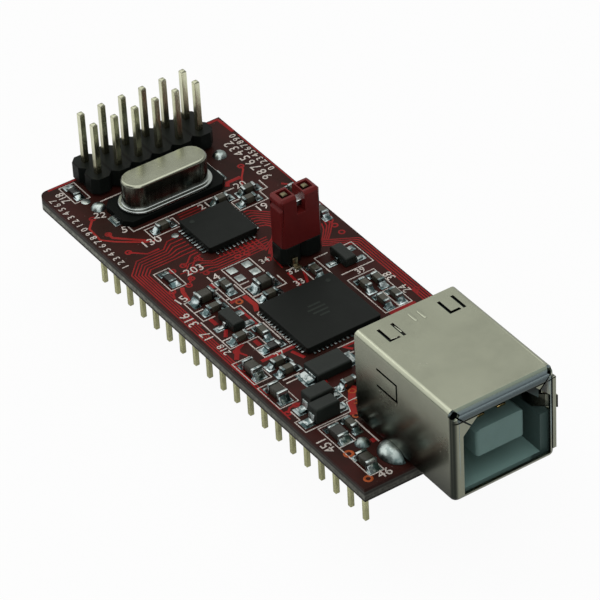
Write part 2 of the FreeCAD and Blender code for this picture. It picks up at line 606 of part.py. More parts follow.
# Chip capacitors, resistors and the ferrite bead
def chip_part(x, y, axis, size):
    length, width, height = size
    hl, hw, g = length / 2, width / 2, END_GROW
    body = turned(x, y, axis, -hl + END_LEN, -hw + g, g, hl - END_LEN, hw - g, height - g)
    top = height * JOINT_HIGH
    make, along, across = (slab_y, x, y) if axis == "x" else (slab_x, y, x)
    ends, joints = [], []
    for s in (-1, 1):
        a, b = sorted((s * (hl - END_LEN), s * hl))
        ends.append(turned(x, y, axis, a, -hw, 0, b, hw, height))
        joints.append(make([(along + s * hl, 0), (along + s * (hl + JOINT_LEN), 0), (along + s * (hl + JOINT_LEN * 0.45), top * 0.45),
                            (along + s * hl, top)], across - hw, across + hw))
    return body, ends, joints


all_joints = []
for name, places, size in (("small_capacitor", SMALL_CAPS, CAP_S), ("large_capacitor", LARGE_CAPS, CAP_L),
                           ("resistor", RESISTORS, RES_S), ("ferrite_bead", BEADS, BEAD_S)):
    bodies, caps = [], []
    for x, y, axis in places:
        body, ends, joints = chip_part(x, y, axis, size)
        bodies.append(body)
        caps += ends
        all_joints += joints
    save(name + ("_bodies" if len(places) > 1 else ""), bodies)
    save(name + "_ends", caps)
save("chip_part_solder", all_joints)

# Three-legged transistors: two legs on the far side, one on the near side
for name, x, y in TRANSISTORS:
    body = bevel_top(block_at(x, y, SOT_SEAT, SOT_TOP, SOT_L, SOT_W), SOT_TOP, SOT_EDGE)
    plate = block_at(x, y, 0, SOT_SEAT, SOT_L * 0.6, SOT_W * 0.6)
    legs = []
    a, b, t, u = SOT_W / 2, SOT_SPAN / 2 + 0.45, SOT_LEG_T, SOT_LEG_H
    for dx, s in ((-SOT_LEG_STEP, 1), (SOT_LEG_STEP, 1), (0, -1)):
        prof = [(b, 0), (b, t), (a + 0.35, t), (a + 0.25, u), (a, u), (a, u - t), (a + 0.12, u - t), (a + 0.22, 0)]
        legs.append(slab_x([(y + s * d, z) for d, z in prof], x + dx - SOT_LEG / 2, x + dx + SOT_LEG / 2))
    save(name, fuse([body, plate]))
    save(name + "_legs", legs)

# Two-ended diodes
for name, x, y, w, l, h, lw in DIODES:
    body = bevel_top(block_at(x, y, DIODE_SEAT, h, w, l), h, DIODE_EDGE)
    a, b, t, u = l / 2, l / 2 + DIODE_LEG_OUT, DIODE_LEG_T, h * 0.55
    prof = [(a - DIODE_LEG_IN, 0), (b, 0), (b, t), (a + 0.2, t + 0.1), (a + 0.1, u), (a - 0.15, u), (a - 0.15, t), (a - DIODE_LEG_IN, t)]
    legs = [slab_x([(y + s * d, z) for d, z in prof], x - lw / 2, x + lw / 2) for s in (-1, 1)]
    save(name, body.cut(Part.makeCompound(legs)))
    save(name + "_legs", legs)
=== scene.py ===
import json
import math
from functools import partial
import bpy
from mathutils import Matrix, Vector


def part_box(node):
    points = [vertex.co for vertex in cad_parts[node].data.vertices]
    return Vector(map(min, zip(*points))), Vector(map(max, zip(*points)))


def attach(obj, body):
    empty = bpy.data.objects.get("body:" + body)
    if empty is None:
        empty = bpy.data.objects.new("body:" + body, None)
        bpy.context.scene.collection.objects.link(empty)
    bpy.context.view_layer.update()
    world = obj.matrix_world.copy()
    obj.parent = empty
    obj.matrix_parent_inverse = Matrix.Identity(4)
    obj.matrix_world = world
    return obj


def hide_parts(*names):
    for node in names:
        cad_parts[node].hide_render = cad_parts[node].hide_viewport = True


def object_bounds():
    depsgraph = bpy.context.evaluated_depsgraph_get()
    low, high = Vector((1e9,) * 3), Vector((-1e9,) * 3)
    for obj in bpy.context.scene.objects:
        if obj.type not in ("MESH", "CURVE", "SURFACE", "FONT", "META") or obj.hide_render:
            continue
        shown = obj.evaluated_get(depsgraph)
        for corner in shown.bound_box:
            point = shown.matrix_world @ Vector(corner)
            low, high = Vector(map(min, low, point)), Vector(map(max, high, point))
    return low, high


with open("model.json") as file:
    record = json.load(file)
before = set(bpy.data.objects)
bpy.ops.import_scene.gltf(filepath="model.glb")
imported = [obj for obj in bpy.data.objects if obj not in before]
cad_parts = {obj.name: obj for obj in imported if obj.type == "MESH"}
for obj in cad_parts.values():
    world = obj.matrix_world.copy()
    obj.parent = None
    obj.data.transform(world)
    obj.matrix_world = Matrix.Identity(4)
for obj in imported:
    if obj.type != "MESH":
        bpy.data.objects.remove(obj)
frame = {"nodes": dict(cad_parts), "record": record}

bl_info = {
    "name": "Adapter module looks",
    "version": (1, 0, 0),
    "blender": (4, 5, 0),
    "location": "View3D > Sidebar > Adapter",
    "description": "Board, legend, solder, plastic and metal finishes for the adapter module",
    "category": "Object",
}

MM = 0.001
CAD_LOW, CAD_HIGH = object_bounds()
BOARD_LOW, BOARD_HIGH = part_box("circuit_board")
SHELL_LOW, SHELL_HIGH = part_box("usb_shell")
# The shell's far wall, as its box also holds the finger that pokes out there
SHELL_FAR = BOARD_LOW.y + BOARD_HIGH.y - SHELL_LOW.y
PITCH = 2.54 * MM
# The sheet of the shell, with a little play
SHEET = 0.42 * MM
NODE_BODY = {node: body for body, nodes in frame["record"]["behaviour"]["bodies"].items() for node in nodes}


def spot(x, y, z=0.0):
    """A point in the row frame, from millimetres along the board, across it and above its top."""
    return Vector((BOARD_LOW.x + x * MM, BOARD_LOW.y + y * MM, level(z)))


def level(z):
    """A height in the row frame, from millimetres above the board's top."""
    return BOARD_HIGH.z + z * MM


# -------- routes and places, in board millimetres: along the board, then across it


def rows(text):
    """The numbers of each entry between commas."""
    return [tuple(float(word) for word in entry.split()) for entry in text.split(",")]


def routes(text):
    """The route and the width of each entry between semicolons."""
    return [(rows(route), float(width)) for width, route in (entry.split(":") for entry in text.split(";"))]


def figures(text):
    """The figures of each entry between commas, and the numbers after them."""
    return [(word, *map(float, rest)) for word, *rest in (entry.split() for entry in text.split(","))]


# Count, width, first route and last route of each run of parallel tracks
TRACK_RUNS = (
    # From the small chip down to the near edge
    (6, 0.165, "15.35 7.88, 15.35 6.35, 16.3 5.32, 16.3 2, 18.05 0.31, 47 0.31",
     "18.35 7.88, 18.35 6.35, 18.4 5.32, 18.4 2.41, 19.1 1.69, 25 1.69"),
    # Beside the small chip
    (5, 0.15, "21 14.95, 21 8.19, 20 7.07, 20 6.04, 20.9 5.02, 20.9 4.4",
     "22.6 14.34, 22.6 8.19, 22.6 7.58, 22.6 7.37, 22.4 7.07, 22.3 6.66"),
    # Round the small chip's far corner
    (7, 0.18, "16 15.46, 16 15.97, 18 18.02, 20 17.82, 23.4 14.54, 24.6 13.52, 26.4 13.31",
     "19 15.36, 19.3 16.08, 19.8 16.38, 20.6 16.08, 21.6 15.26, 22.2 14.23, 22.2 13.62"),
    # Along the far edge
    (4, 0.165, "24.4 18.02, 25.1 19.35, 26.95 22.43, 27.4 22.63, 39.9 22.63",
     "25.8 18.64, 26.2 19.35, 27.5 21.5, 27.7 21.71, 39.9 21.71"),
    # By the jumper
    (4, 0.16, "21.2 22.43, 22.6 22.22, 24.4 20.68, 25.3 19.76", "22.6 20.79, 23.6 20.38, 24.6 19.56, 25 19.15"),
    # On the header side of the small chip
    (3, 0.12, "12.2 9.73, 12.2 12.7", "13.1 9.52, 13.1 12.49"),
    # Short tracks from the small chip's leads
    (10, 0.18, "20.5 9.35, 21 9.35", "20.5 13.85, 22.4 13.85"),
)
# Single tracks: width and route
TRACKS = routes("""
    0.25: 14.5 2.15, 15.9 3.58, 15.9 5.02; 0.4: 24.2 5.89, 25 5.89; 0.5: 10.6 18.64, 10.6 17, 11.2 16.59;
    0.3: 14.2 21.4, 15.3 22.43; 0.3: 29.2 6.04, 32.6 6.04; 0.5: 34.6 4.4, 35.6 4.4; 0.45: 29 2.76, 30.2 2.76;
    0.4: 31.4 3.07, 32.4 2.36; 0.5: 34.3 3.07, 34.7 2.25, 36.1 1.23; 0.45: 37.8 7.37, 37.8 3.07;
    0.4: 38.3 6.35, 39.9 6.86; 0.4: 40.9 12.29, 40.9 10.85, 41.7 11.47; 0.5: 54.2 4.92, 54.8 4.92;
    0.3: 27.4 13.31, 30.2 13.11; 0.3: 28.2 14.75, 30.2 13.93; 0.45: 39.3 20.79, 39.3 17.61;
    0.2: 18.85 7.88, 18.85 6.96, 19.7 6.04, 19.85 5.43; 0.2: 19.35 7.88, 19.35 7.37, 20.9 5.73, 21.6 5.12, 22.2 4.92;
    0.2: 22.2 4.92, 23 4.1; 0.25: 35 1.95, 36.2 2.46; 0.25: 45.5 2.46, 45.5 1.23, 46.1 0.61; 0.22: 22.9 2.15, 24 1.74;
    0.2: 19.7 7.27, 20.2 7.68; 0.22: 37.6 22.12, 38.4 21.71; 0.25: 41 7.17, 44.5 6.35; 0.3: 0.22 1.1, 0.22 4.6;
    0.45: 0.3 20.4, 0.3 22.5, 3.2 22.65; 0.14: 4 22.7, 20 22.7; 0.165: 39.9 22.63, 50 22.63, 51 21.8;
    0.165: 39.9 22.32, 46.5 22.32, 47.9 21, 47.9 19.4; 0.165: 39.9 22.02, 43.2 22.02, 44.4 20.9, 44.4 18.6;
    0.165: 39.9 21.71, 41.2 21.71, 42.2 20.8, 42.2 19.2; 0.3: 53.5 21.9, 57.4 21.9, 58.6 20.7
""")
# Single tracks painted lighter, a painted highlight where the copper catches the light: width and route
BRIGHT_TRACKS = routes("""
    0.26: 7.3 2.25, 8.6 1.08, 10.9 0.97, 12.1 2.05, 14 4.4, 14.5 5.43; 0.34: 10.5 2.15, 11.4 2.2, 14 4.86;
    0.45: 22.9 3.33, 23.5 3.02, 25.2 2.66; 0.2: 9 19.76, 9.6 19.66, 10.7 18.74, 11.9 18.02;
    0.55: 27.9 7.58, 29.8 7.68, 30.8 7.22; 0.45: 28 5.84, 28.1 7.07; 0.75: 46.7 8.29, 47.2 7.48, 48.6 6.45, 50.2 5.63
""")
VIA_RADIUS, VIA_WIDTH = 0.3, 0.2
SMALL_VIAS = rows("""
    7.3 2.25, 10.6 2.15, 14.5 2.15, 19.85 5.43, 19.7 7.27, 22.3 6.66, 22.2 4.92, 23 4.1, 22.9 2.15, 20 4.04,
    22.1 11.78, 21.6 12.6, 22 10.75, 22.2 13.62, 22.7 21.81, 23.7 21.71, 25.1 21.61, 37.6 22.12, 24.3 13, 35 1.95,
    45.5 1.95, 46.1 0.61, 9 19.76, 41 7.17, 51 21.8, 47.9 19.4, 44.4 18.6, 42.2 19.2, 53.5 21.9, 58.6 20.7
""")
# Place and radius
BARE_VIAS = rows("""
    54.75 1.84 0.42, 58.9 1.23 0.38, 47.1 7.58 0.32, 48.6 6.86 0.3, 50.4 5.73 0.3, 28.4 6.66 0.32
""")
# Bare pads with no part: place, length and width; round where the width is 0
BARE_PADS = rows("""
    23.7 10.75 1 0.95, 25.2 10.75 1 0.95, 23.7 8.9 1 0.95, 25.2 8.9 1 0.95, 15.05 7.55 0.8 0, 4.3 3.3 1 0
""")
# How much longer and wider pads are than the solder, legs or posts on them, and how far those of legs are set out
UNDER_SOLDER, UNDER_LEGS, UNDER_POSTS, SET_OUT = (0.264, 0.264), (0.4, 0.3), (0.3, 0.3), 0.15
# Two small beads pressed up in the shell's top: where they start, and their length, width and rise
PRESSED_BEADS = ((52.2, 11.19), (52.35, 12.15))
BEAD_LENGTH, BEAD_WIDTH, BEAD_RISE = 1.1, 0.42, 0.055
TOP_OF_SHELL = (SHELL_HIGH.z - BOARD_HIGH.z) / MM
# Printed boxes: near left and far right corner
LEGEND_BOXES = rows("""
    0.6 2.25 3.9 4.1, 12.3 5.53 14 9.01, 19.3 2.15 22.7 3.99, 36.45 0.46 40.45 2.51, 41.15 0.36 45.1 2.56,
    32.25 17.36 39 20.63
""")
LEGEND_LINES = [rows(route) for route in """
    25.8 11.52, 22.9 11.52, 22.9 8.14, 30.1 8.14; 26.15 8.14, 26.15 9.32; 26.9 8.14, 26.9 9.32;
    28.65 8.14, 28.65 9.42; 27.1 12.19, 28.8 12.19, 28.8 10.85; 25.7 7.83, 27.7 7.83, 27.7 6.14, 24.1 6.14;
    25.4 6.09, 25.4 5.63, 27.4 5.63; 27.4 6.14, 27.4 5.63, 29 5.63, 29 6.45, 32.6 6.45;
    25.3 3.07, 25.3 2, 28.9 2, 28.9 3.38; 27.2 2, 27.2 3.07; 28.9 1.69, 34.3 1.69, 34.3 5.02, 35.8 5.02, 35.8 3.69;
    32.75 1.74, 32.75 2.97; 32.65 6.55, 32.65 4.71; 34.3 3.69, 37.5 3.69, 37.5 7.37; 31 7.48, 31.2 7.01, 37.2 7.01;
    32.7 6.66, 36 6.66; 46.3 8.4, 46.3 6.45, 47.9 6.45, 47.9 5.84;
    48.2 7.37, 48.2 6.14, 49.6 5.63, 49.6 0.36, 47.7 0.36, 47.7 0.97, 46.1 0.97;
    49.9 5.12, 49.9 1.59, 58.7 1.59, 58.7 3.23, 57 3.23; 50 3.58, 53.5 3.58, 53.5 1.59; 50.9 5.27, 55 5.27;
    27.1 20.28, 27.1 21.4, 31.1 21.4, 31.1 17.41; 27.1 18.43, 27.1 16.79, 30.3 16.79;
    27.1 13.72, 27.1 14.75, 30.3 14.75; 35.9 20.58, 35.9 19.15, 39 19.15;
    13.9 18.84, 15.6 18.84, 15.6 15.36, 13.8 15.36, 13.8 16.38; 12.3 19.87, 13.9 19.87, 13.9 18.84;
    5.2 7.17, 5.2 4.51; 10.2 4.51, 11.8 4.51, 11.8 17; 5.2 17.2, 10 17.2; 41.6 3.07, 41.6 5.02; 42.2 3.07, 42.2 4.51;
    40.7 12.29, 40.7 10.24, 42.1 10.24, 42.1 11.26
""".split(";")]
# Rows of plain figures: figures, middle of the row, turn, height and spread
LEGEND_ROWS = figures("""
    12345678901234567 9.3 0.62 180 1.1 1.62, 98765432 8.6 20.95 180 1.6 1.32, 01234567890 7.6 22.12 180 1.1 1.35
""")
# Plain numbers: figures, place, turn and height
LEGEND_NUMBERS = figures("""
    130 14.5 4.97 90 1.15, 203 21.2 5.89 90 1.1, 14 23.6 6.66 90 1.1, 15 24.7 2.05 100 1.1, 316 27.9 0.97 180 1.15,
    17 31.2 0.97 180 1.1, 218 34 1.13 180 0.85, 19 16.5 17.41 90 1.1, 20 11.8 17.82 90 1, 21 12.6 12.8 90 1,
    22 7.3 3.17 62 1, 5 11 3.89 70 1.1, 38 34.2 21.2 180 1, 24 36.9 21.25 180 0.95, 451 52.4 0.82 180 1.15,
    46 59.2 2.97 90 1.15, 718 2.3 1.74 180 0.95, 32 27.5 13.82 90 0.9, 33 29.5 13.31 90 0.9, 34 24.3 12.49 90 0.8,
    27 38 5.12 90 0.8, 39 31.7 19.35 90 0.8, 40 42.9 11.57 180 0.7
""")
# How far the legend stands up, against the tracks
LEGEND_RELIEF = 1.8
# Bodies that have legs of their own
SMALL_CHIPS = ("transistor_near", "transistor_far", "power_diode", "guard_diode", "signal_diode")


# -------- sizes and colours


def colour(name, description, value):
    return bpy.props.FloatVectorProperty(name=name, description=description, default=value, size=3,
                                         min=0.0, max=1.0, subtype="COLOR")


def amount(name, description, value, low, **kind):
    return bpy.props.FloatProperty(name=name, description=description, default=value, min=low, **kind)


def length(name, description, value):
    return amount(name, description, value * MM, 0.0, subtype="DISTANCE", unit="LENGTH", precision=5)


class BoardLooks(bpy.types.PropertyGroup):
    mask: colour("Board coat", "Colour of the board's lacquer", (0.0175, 0.0065, 0.0048))
    mask_light: colour("Board coat, thin", "Lacquer where copper lies close under it", (0.038, 0.0085, 0.0070))
    rim: colour("Board rim", "Cut edge of the laminate", (0.048, 0.046, 0.040))
    # The pale band on the cut edge is painted light, with some wear of the laminate
    rim_wear_and_light: colour("Worn edge", "Pale band along the cut edge", (0.27, 0.28, 0.24))
    track: colour("Tracks", "Lacquered copper", (0.215, 0.011, 0.011))
    # A lighter copy of the track colour: painted highlight
    track_bright: colour("Bright tracks", "Lacquered copper that catches the light", (0.26, 0.018, 0.015))
    via: colour("Via rings", "Copper rings under thin lacquer", (0.32, 0.070, 0.020))
    legend: colour("Legend", "Printed outlines and numbers", (0.52, 0.47, 0.43))
    pad: colour("Bare pads", "Tinned pads with nothing on them", (0.42, 0.46, 0.44))
    dust: colour("Dust", "Specks on the board", (0.30, 0.24, 0.21))
    legend_width: length("Legend width", "Width of the printed lines", 0.17)
    number_weight: length("Number weight", "How much bolder the numbers are than the plain letter form", 0.004)
    number_scale: amount("Number scale", "Height of the numbers against the table", 1.38, 0.5, max=2.0,
                         subtype="FACTOR")
    relief: length("Track relief", "How far the tracks stand up under the lacquer", 0.03)


class MetalLooks(bpy.types.PropertyGroup):
    gilt: colour("Header posts", "Thin gold on the posts", (0.95, 0.96, 0.70))
    # Painted shade on the posts close over their block
    post_foot_shade: colour("Header posts, foot", "Posts close over their block", (0.16, 0.12, 0.05))
    # Darker gold for the posts under the cap: painted shade
    jumper_post: colour("Jumper posts", "Gold on the posts under the cap", (0.29, 0.25, 0.15))
    pin: colour("Row pins", "Gold on the pins of both rows", (0.95, 0.95, 0.54))
    tin: colour("Tinned metal", "Leads and caps", (0.44, 0.48, 0.47))
    solder: colour("Solder", "Bright solder", (0.44, 0.505, 0.505))
    dull_solder: colour("Dull solder", "Hand laid solder", (0.47, 0.53, 0.505))
    solder_shade: colour("Dull solder, shade", "Where hand laid solder turns down or away", (0.045, 0.075, 0.075))
    pit: colour("Solder pits", "Small grey pits", (0.10, 0.10, 0.09))
    can: colour("Crystal can", "Satin steel", (0.31, 0.32, 0.25))
    # Painted shade on the can's side and a painted highlight on its flange
    can_side_shade: colour("Crystal can, wall", "Drawn steel of the can's side", (0.21, 0.215, 0.18))
    can_flange_highlight: colour("Crystal can, flange", "Bright pressed flange", (0.34, 0.365, 0.35))
    shell: colour("Socket shell", "Nickel on bent sheet", (0.320, 0.332, 0.256))
    # Colours for painted shade and a painted highlight on the bend over the mouth
    shell_top_start_shade: colour("Shell, start of the top bend", "Nickel where the top turns down", (0.100, 0.118, 0.094))
    shell_top_bend_light_and_shade: colour("Shell, top bend", "Nickel on the bend over the mouth", (0.165, 0.205, 0.215))
    # Colour of the painted shade on the bends beside the mouth
    shell_side_bend_shade: colour("Shell, side bends", "Nickel on the bends beside the mouth", (0.032, 0.036, 0.030))
    contact: colour("Contacts", "Gold on the socket's contacts", (0.60, 0.44, 0.18))


class MouldedLooks(bpy.types.PropertyGroup):
    strip: colour("Pin strips", "Black carrier strips", (0.010, 0.010, 0.009))
    header: colour("Header", "Black header blocks", (0.0062, 0.0078, 0.0068))
    chip: colour("Chips", "Black moulding compound", (0.0050, 0.0064, 0.0053))
    shunt: colour("Jumper cap", "Red cap", (0.105, 0.0090, 0.0085))
    socket: colour("Socket block", "Pale plastic in the socket", (0.125, 0.205, 0.190))
    ceramic: colour("Capacitor bodies", "Fired ceramic", (0.046, 0.044, 0.031))
    resistor: colour("Resistor tops", "Black glaze", (0.012, 0.013, 0.012))
    ferrite: colour("Ferrite", "Dark ferrite", (0.030, 0.030, 0.026))
    dimple: length("Chip dimple", "Across the dimple in a chip's corner", 0.55)
    edge: length("Moulded edge", "Rounding of moulded edges", 0.06)
    corner: length("Chip corner", "Rounding of the upright corners of the chips", 0.32)


class StageLooks(bpy.types.PropertyGroup):
    floor: colour("Floor", "Colour of the floor", (0.52, 0.52, 0.52))
    floor_size: amount("Floor size", "Side of the floor", 3.0, 0.5, subtype="DISTANCE", unit="LENGTH")
    lamp_size: amount("Lamp size", "Measure of the soft lamps' sides", 0.5, 0.1, subtype="DISTANCE", unit="LENGTH")
    lamp_power: amount("Lamp power", "Measure of the soft lamps' powers", 5.0, 0.0, subtype="POWER", unit="POWER")


def looks(kind):
    """One group of the scene's sizes and colours."""
    return getattr(bpy.context.scene, kind)


# -------- shared effects


def feed(socket, value):
    """Gives a socket another socket, a number, a direction or a colour."""
    if isinstance(value, bpy.types.NodeSocket):
        socket.id_data.links.new(value, socket)
    elif isinstance(value, (int, float)):
        socket.default_value = value
    else:
        socket.default_value = (*value, 1.0) if socket.type == "RGBA" and len(value) == 3 else tuple(value)


def tree_of(*values):
    """The node tree of the first of these that is a socket."""
    return next(value.id_data for value in values if isinstance(value, bpy.types.NodeSocket))


def calc(operation, *values, clamp=False):
    """A math node, or a row of them where there are more than two values."""
    out, *rest = values
    for value in rest or [None]:
        node = tree_of(out, value).nodes.new("ShaderNodeMath")
        node.operation = operation
        feed(node.inputs[0], out)
        if value is not None:
            feed(node.inputs[1], value)
        out = node.outputs[0]
    node.use_clamp = clamp
    return out


times, plus, minus, divided = (partial(calc, kind) for kind in ("MULTIPLY", "ADD", "SUBTRACT", "DIVIDE"))
larger, above, below, size_of = (partial(calc, kind) for kind in ("MAXIMUM", "GREATER_THAN", "LESS_THAN", "ABSOLUTE"))


def blend(share, a, b):
    """From one colour to another, by a share."""
    node = tree_of(share).nodes.new("ShaderNodeMix")
    node.data_type = "RGBA"
    for socket, value in zip((node.inputs["Factor"], node.inputs[6], node.inputs[7]), (share, a, b)):
        feed(socket, value)
    return node.outputs[2]


def texture(tree, kind, **values):
    """A node by its kind, with its inputs fed by name."""
    node = tree.nodes.new(kind)
    for label, value in values.items():
        feed(node.inputs[label.replace("_", " ")], value)
    return node


def ramp(value, low, high, to_low=0.0, to_high=1.0):
    """A value carried from one range to another."""
    return texture(tree_of(value), "ShaderNodeMapRange", Value=value, From_Min=low, From_Max=high, To_Min=to_low,
                   To_Max=to_high).outputs["Result"]


def noise(vector, scale, detail=3.0, rough=0.55):
    """Soft noise over a surface."""
    return texture(tree_of(vector), "ShaderNodeTexNoise", Vector=vector, Scale=scale, Detail=detail,
                   Roughness=rough).outputs["Fac"]


def axes(vector):
    """The three axes of a vector."""
    return texture(tree_of(vector), "ShaderNodeSeparateXYZ", Vector=vector).outputs


def effect_tree(name, given, put):
    """The tree of a shared effect: a place and its given values in, what it makes out."""
    tree = bpy.data.node_groups.new(name, "ShaderNodeTree")
    tree.interface.new_socket("Vector", in_out="INPUT", socket_type="NodeSocketVector")
    for label, value in given.items():
        kind = "Float" if isinstance(value, float) else "Color" if len(value) == 4 else "Vector"
        tree.interface.new_socket(label, in_out="INPUT", socket_type="NodeSocket" + kind).default_value = value
    for label in put:
        kind = "Color" if label == "Color" else "Float"
        tree.interface.new_socket(label, in_out="OUTPUT", socket_type="NodeSocket" + kind)
    return tree, tree.nodes.new("NodeGroupInput").outputs, tree.nodes.new("NodeGroupOutput").inputs


def build_tone_drift():
    """Slow change of tone over a surface, with faint smudges."""
    grey = (0.5, 0.5, 0.5, 1.0)
    tree, given, put = effect_tree("tone_drift", {"Scale": 300.0, "Base": grey, "Other": grey}, ("Color",))
    broad = ramp(noise(given["Vector"], given["Scale"]), 0.35, 0.65)
    fine = noise(given["Vector"], times(given["Scale"], 7.0), 5.0, 0.6)
    mask = times(broad, ramp(fine, 0.3, 0.7, 0.55, 1.0), clamp=True)
    feed(put["Color"], blend(mask, given["Base"], given["Other"]))
    return tree


def build_grain():
    """Even fine grain, as a height and as a small change of roughness."""
    tree, given, put = effect_tree("fine_grain", {"Scale": 6000.0, "Roughness": 0.5, "Spread": 0.15},
                                   ("Height", "Roughness"))
    fine = noise(given["Vector"], given["Scale"], 4.0, 0.6)
    slow = noise(given["Vector"], times(given["Scale"], 0.06), 3.0, 0.5)
    swing = times(minus(slow, 0.5), given["Spread"])
    jitter = times(minus(fine, 0.5), times(given["Spread"], 0.6))
    feed(put["Height"], fine)
    feed(put["Roughness"], plus(given["Roughness"], swing, jitter, clamp=True))
    return tree


def build_brush():
    """Fine drawn lines along one axis, as rolled or drawn metal has."""
    tree, given, put = effect_tree("drawn_lines", {"Stretch": (1.0, 1.0, 1.0), "Scale": 3000.0}, ("Height", "Mask"))
    scaled = tree.nodes.new("ShaderNodeVectorMath")
    scaled.operation = "MULTIPLY"
    feed(scaled.inputs[0], given["Vector"])
    feed(scaled.inputs[1], given["Stretch"])
    lines = noise(scaled.outputs[0], given["Scale"], 6.0, 0.7)
    feed(put["Height"], lines)
    feed(put["Mask"], ramp(lines, 0.62, 0.74))
    return tree


def build_specks():
    """Sparse dust specks, as a mask."""
    tree, given, put = effect_tree("dust_specks", {"Scale": 1500.0, "Amount": 0.1}, ("Mask",))
    cells = texture(tree, "ShaderNodeTexVoronoi", Vector=given["Vector"], Scale=given["Scale"])
    near = below(cells.outputs["Distance"], given["Amount"])
    feed(put["Mask"], times(near, above(noise(given["Vector"], 900.0), 0.56)))
    return tree


EFFECTS = {"tone_drift": build_tone_drift, "fine_grain": build_grain, "drawn_lines": build_brush,
           "dust_specks": build_specks}
GROUPS, FINISHES = {}, {}


def group(name):
    """A shared effect, built once."""
    if name not in GROUPS:
        GROUPS[name] = EFFECTS[name]()
    return GROUPS[name]


# What a stain leaves of a metal's red, green and blue
STAIN = (0.075, 0.13, 0.135)


class Finish:
    """One material under construction: its tree, its Principled node and its place on the object."""

    def __init__(self, name, rough, metal=0.0, specular=0.5):
        self.material = bpy.data.materials.new(name)
        self.material.use_nodes = True
        self.tree = self.material.node_tree
        self.shader = self.tree.nodes["Principled BSDF"]
        self.rough = rough
        for label, value in (("Roughness", rough), ("Metallic", metal), ("Specular IOR Level", specular)):
            self.shader.inputs[label].default_value = value
        self.place = self.tree.nodes.new("ShaderNodeTexCoord").outputs["Object"]
        self.at = axes(self.place)
        self.facing = axes(self.tree.nodes.new("ShaderNodeNewGeometry").outputs["Normal"])
        self.heights = []

    def effect(self, name, **values):
        node = self.tree.nodes.new("ShaderNodeGroup")
        node.node_tree = group(name)
        feed(node.inputs["Vector"], self.place)
        for label, value in values.items():
            feed(node.inputs[label.capitalize()], value)
        return node.outputs

    def tone(self, base, other, scale):
        """Two tones that pass slowly into each other."""
        return self.effect("tone_drift", base=base, other=other, scale=scale)["Color"]

    def dusted(self, tone, speck, scale, amount, share):
        """A tone with sparse specks of another."""
        mask = self.effect("dust_specks", scale=scale, amount=amount)["Mask"]
        return blend(times(mask, share), tone, speck)

    def stained(self, tone, value, scale, share):
        """A tone broken by darker, cooler stains, as soldered metal has."""
        stain = ramp(noise(self.place, scale, 3.0, 0.6), 0.44, 0.56, 0.0, share)
        return blend(stain, tone, tuple(c * k for c, k in zip(value, STAIN)))

    def grain(self, scale, spread, depth):
        out = self.effect("fine_grain", scale=scale, roughness=self.rough, spread=spread)
        feed(self.shader.inputs["Roughness"], out["Roughness"])
        self.heights.append((out["Height"], depth))

    def height(self, socket, depth):
        self.heights.append((socket, depth))

    def done(self, tone):
        """Paints the tone, chains the heights into one normal, and gives the material."""
        feed(self.shader.inputs["Base Color"], tone)
        before = None
        for socket, depth in self.heights:
            bump = texture(self.tree, "ShaderNodeBump", Strength=1.0, Distance=depth * MM, Height=socket)
            if before:
                feed(bump.inputs["Normal"], before)
            before = bump.outputs["Normal"]
        if before:
            feed(self.shader.inputs["Normal"], before)
        return self.material


def shade(value, k):
    """A colour made darker or lighter."""
    return tuple(min(1.0, c * k) for c in value)


def moulded(name, value, rough, drift, grain, depth, specks, specular):
    """Moulded plastic or compound with an even grain and a little dust."""
    f = Finish(name, rough=rough, specular=specular)
    tone = f.tone(value, shade(value, drift), 350.0)
    if specks:
        tone = f.dusted(tone, shade(value, 6.0), 2600.0, specks, 0.35)
    f.grain(grain, 0.18, depth)
    return f.done(tone)


def plated(name, value, rough, other, lines, depth, spread, top_shading, stains, foot):
    """Plated metal with drawn lines along one axis and a slow change of tone."""
    f = Finish(name, rough=rough, metal=1.0)
    drawn = f.effect("drawn_lines", stretch=lines, scale=9000.0)
    tone = f.tone(value, shade(value, other), 420.0)
    if stains:
        tone = f.stained(tone, value, 1500.0, stains)
    # A factor below 1 paints shade on upward faces, above 1 a painted highlight
    if top_shading != 1.0:
        tone = blend(ramp(f.facing["Z"], 0.15, 0.45), tone, shade(value, top_shading))
    # Painted shade low on the posts, close over their block
    if foot is not None:
        tone = blend(ramp(f.at["Z"], level(2.2), level(6.0), 0.75, 0.0), tone, foot)
    f.grain(5000.0, spread, depth)
    f.height(drawn["Height"], depth)
    return f.done(blend(times(drawn["Mask"], 0.25), tone, shade(value, 0.55)))


def build_board_coat(p):
    """Lacquered board: brown red faces with darker and lighter patches, bare cut laminate on the rim."""
    f = Finish("board_coat", rough=0.34, specular=0.05)
    face = f.dusted(f.tone(p.mask, p.mask_light, 160.0), p.dust, 1800.0, 0.09, 0.25)
    weave = texture(f.tree, "ShaderNodeTexWave", Vector=f.place, Scale=700.0, Distortion=1.5, Detail=2.0)
    weave.bands_direction = "Z"
    rim = blend(weave.outputs["Fac"], p.rim, shade(p.rim, 0.55))
    # A pale band half way down the cut edge, lighter towards the header end: painted light, with some wear of the
    # laminate. The board's face colour carried a little down over the rim's upper edge is painted shade.
    band = times(ramp(f.at["Z"], level(-0.7), level(-0.9)), ramp(f.at["Z"], level(-1.42), level(-1.22)),
                 ramp(f.at["X"], BOARD_LOW.x, BOARD_HIGH.x, 1.0, 0.45), ramp(f.facing["X"], 0.3, 0.7, 1.0, 0.5),
                 ramp(noise(f.place, 1900.0, 4.0, 0.75), 0.38, 0.62, 0.25, 1.0))
    rim = blend(band, rim, p.rim_wear_and_light)
    flat = larger(ramp(size_of(f.facing["Z"]), 0.8, 0.95), ramp(f.at["Z"], level(-0.42), level(-0.3)))
    f.grain(2500.0, 0.22, 0.006)
    return f.done(blend(flat, rim, face))


def build_lacquer(name, value, rough):
    """Copper under lacquer."""
    f = Finish(name, rough=rough, specular=0.06)
    f.grain(3000.0, 0.2, 0.004)
    return f.done(f.tone(value, shade(value, 0.6), 500.0))


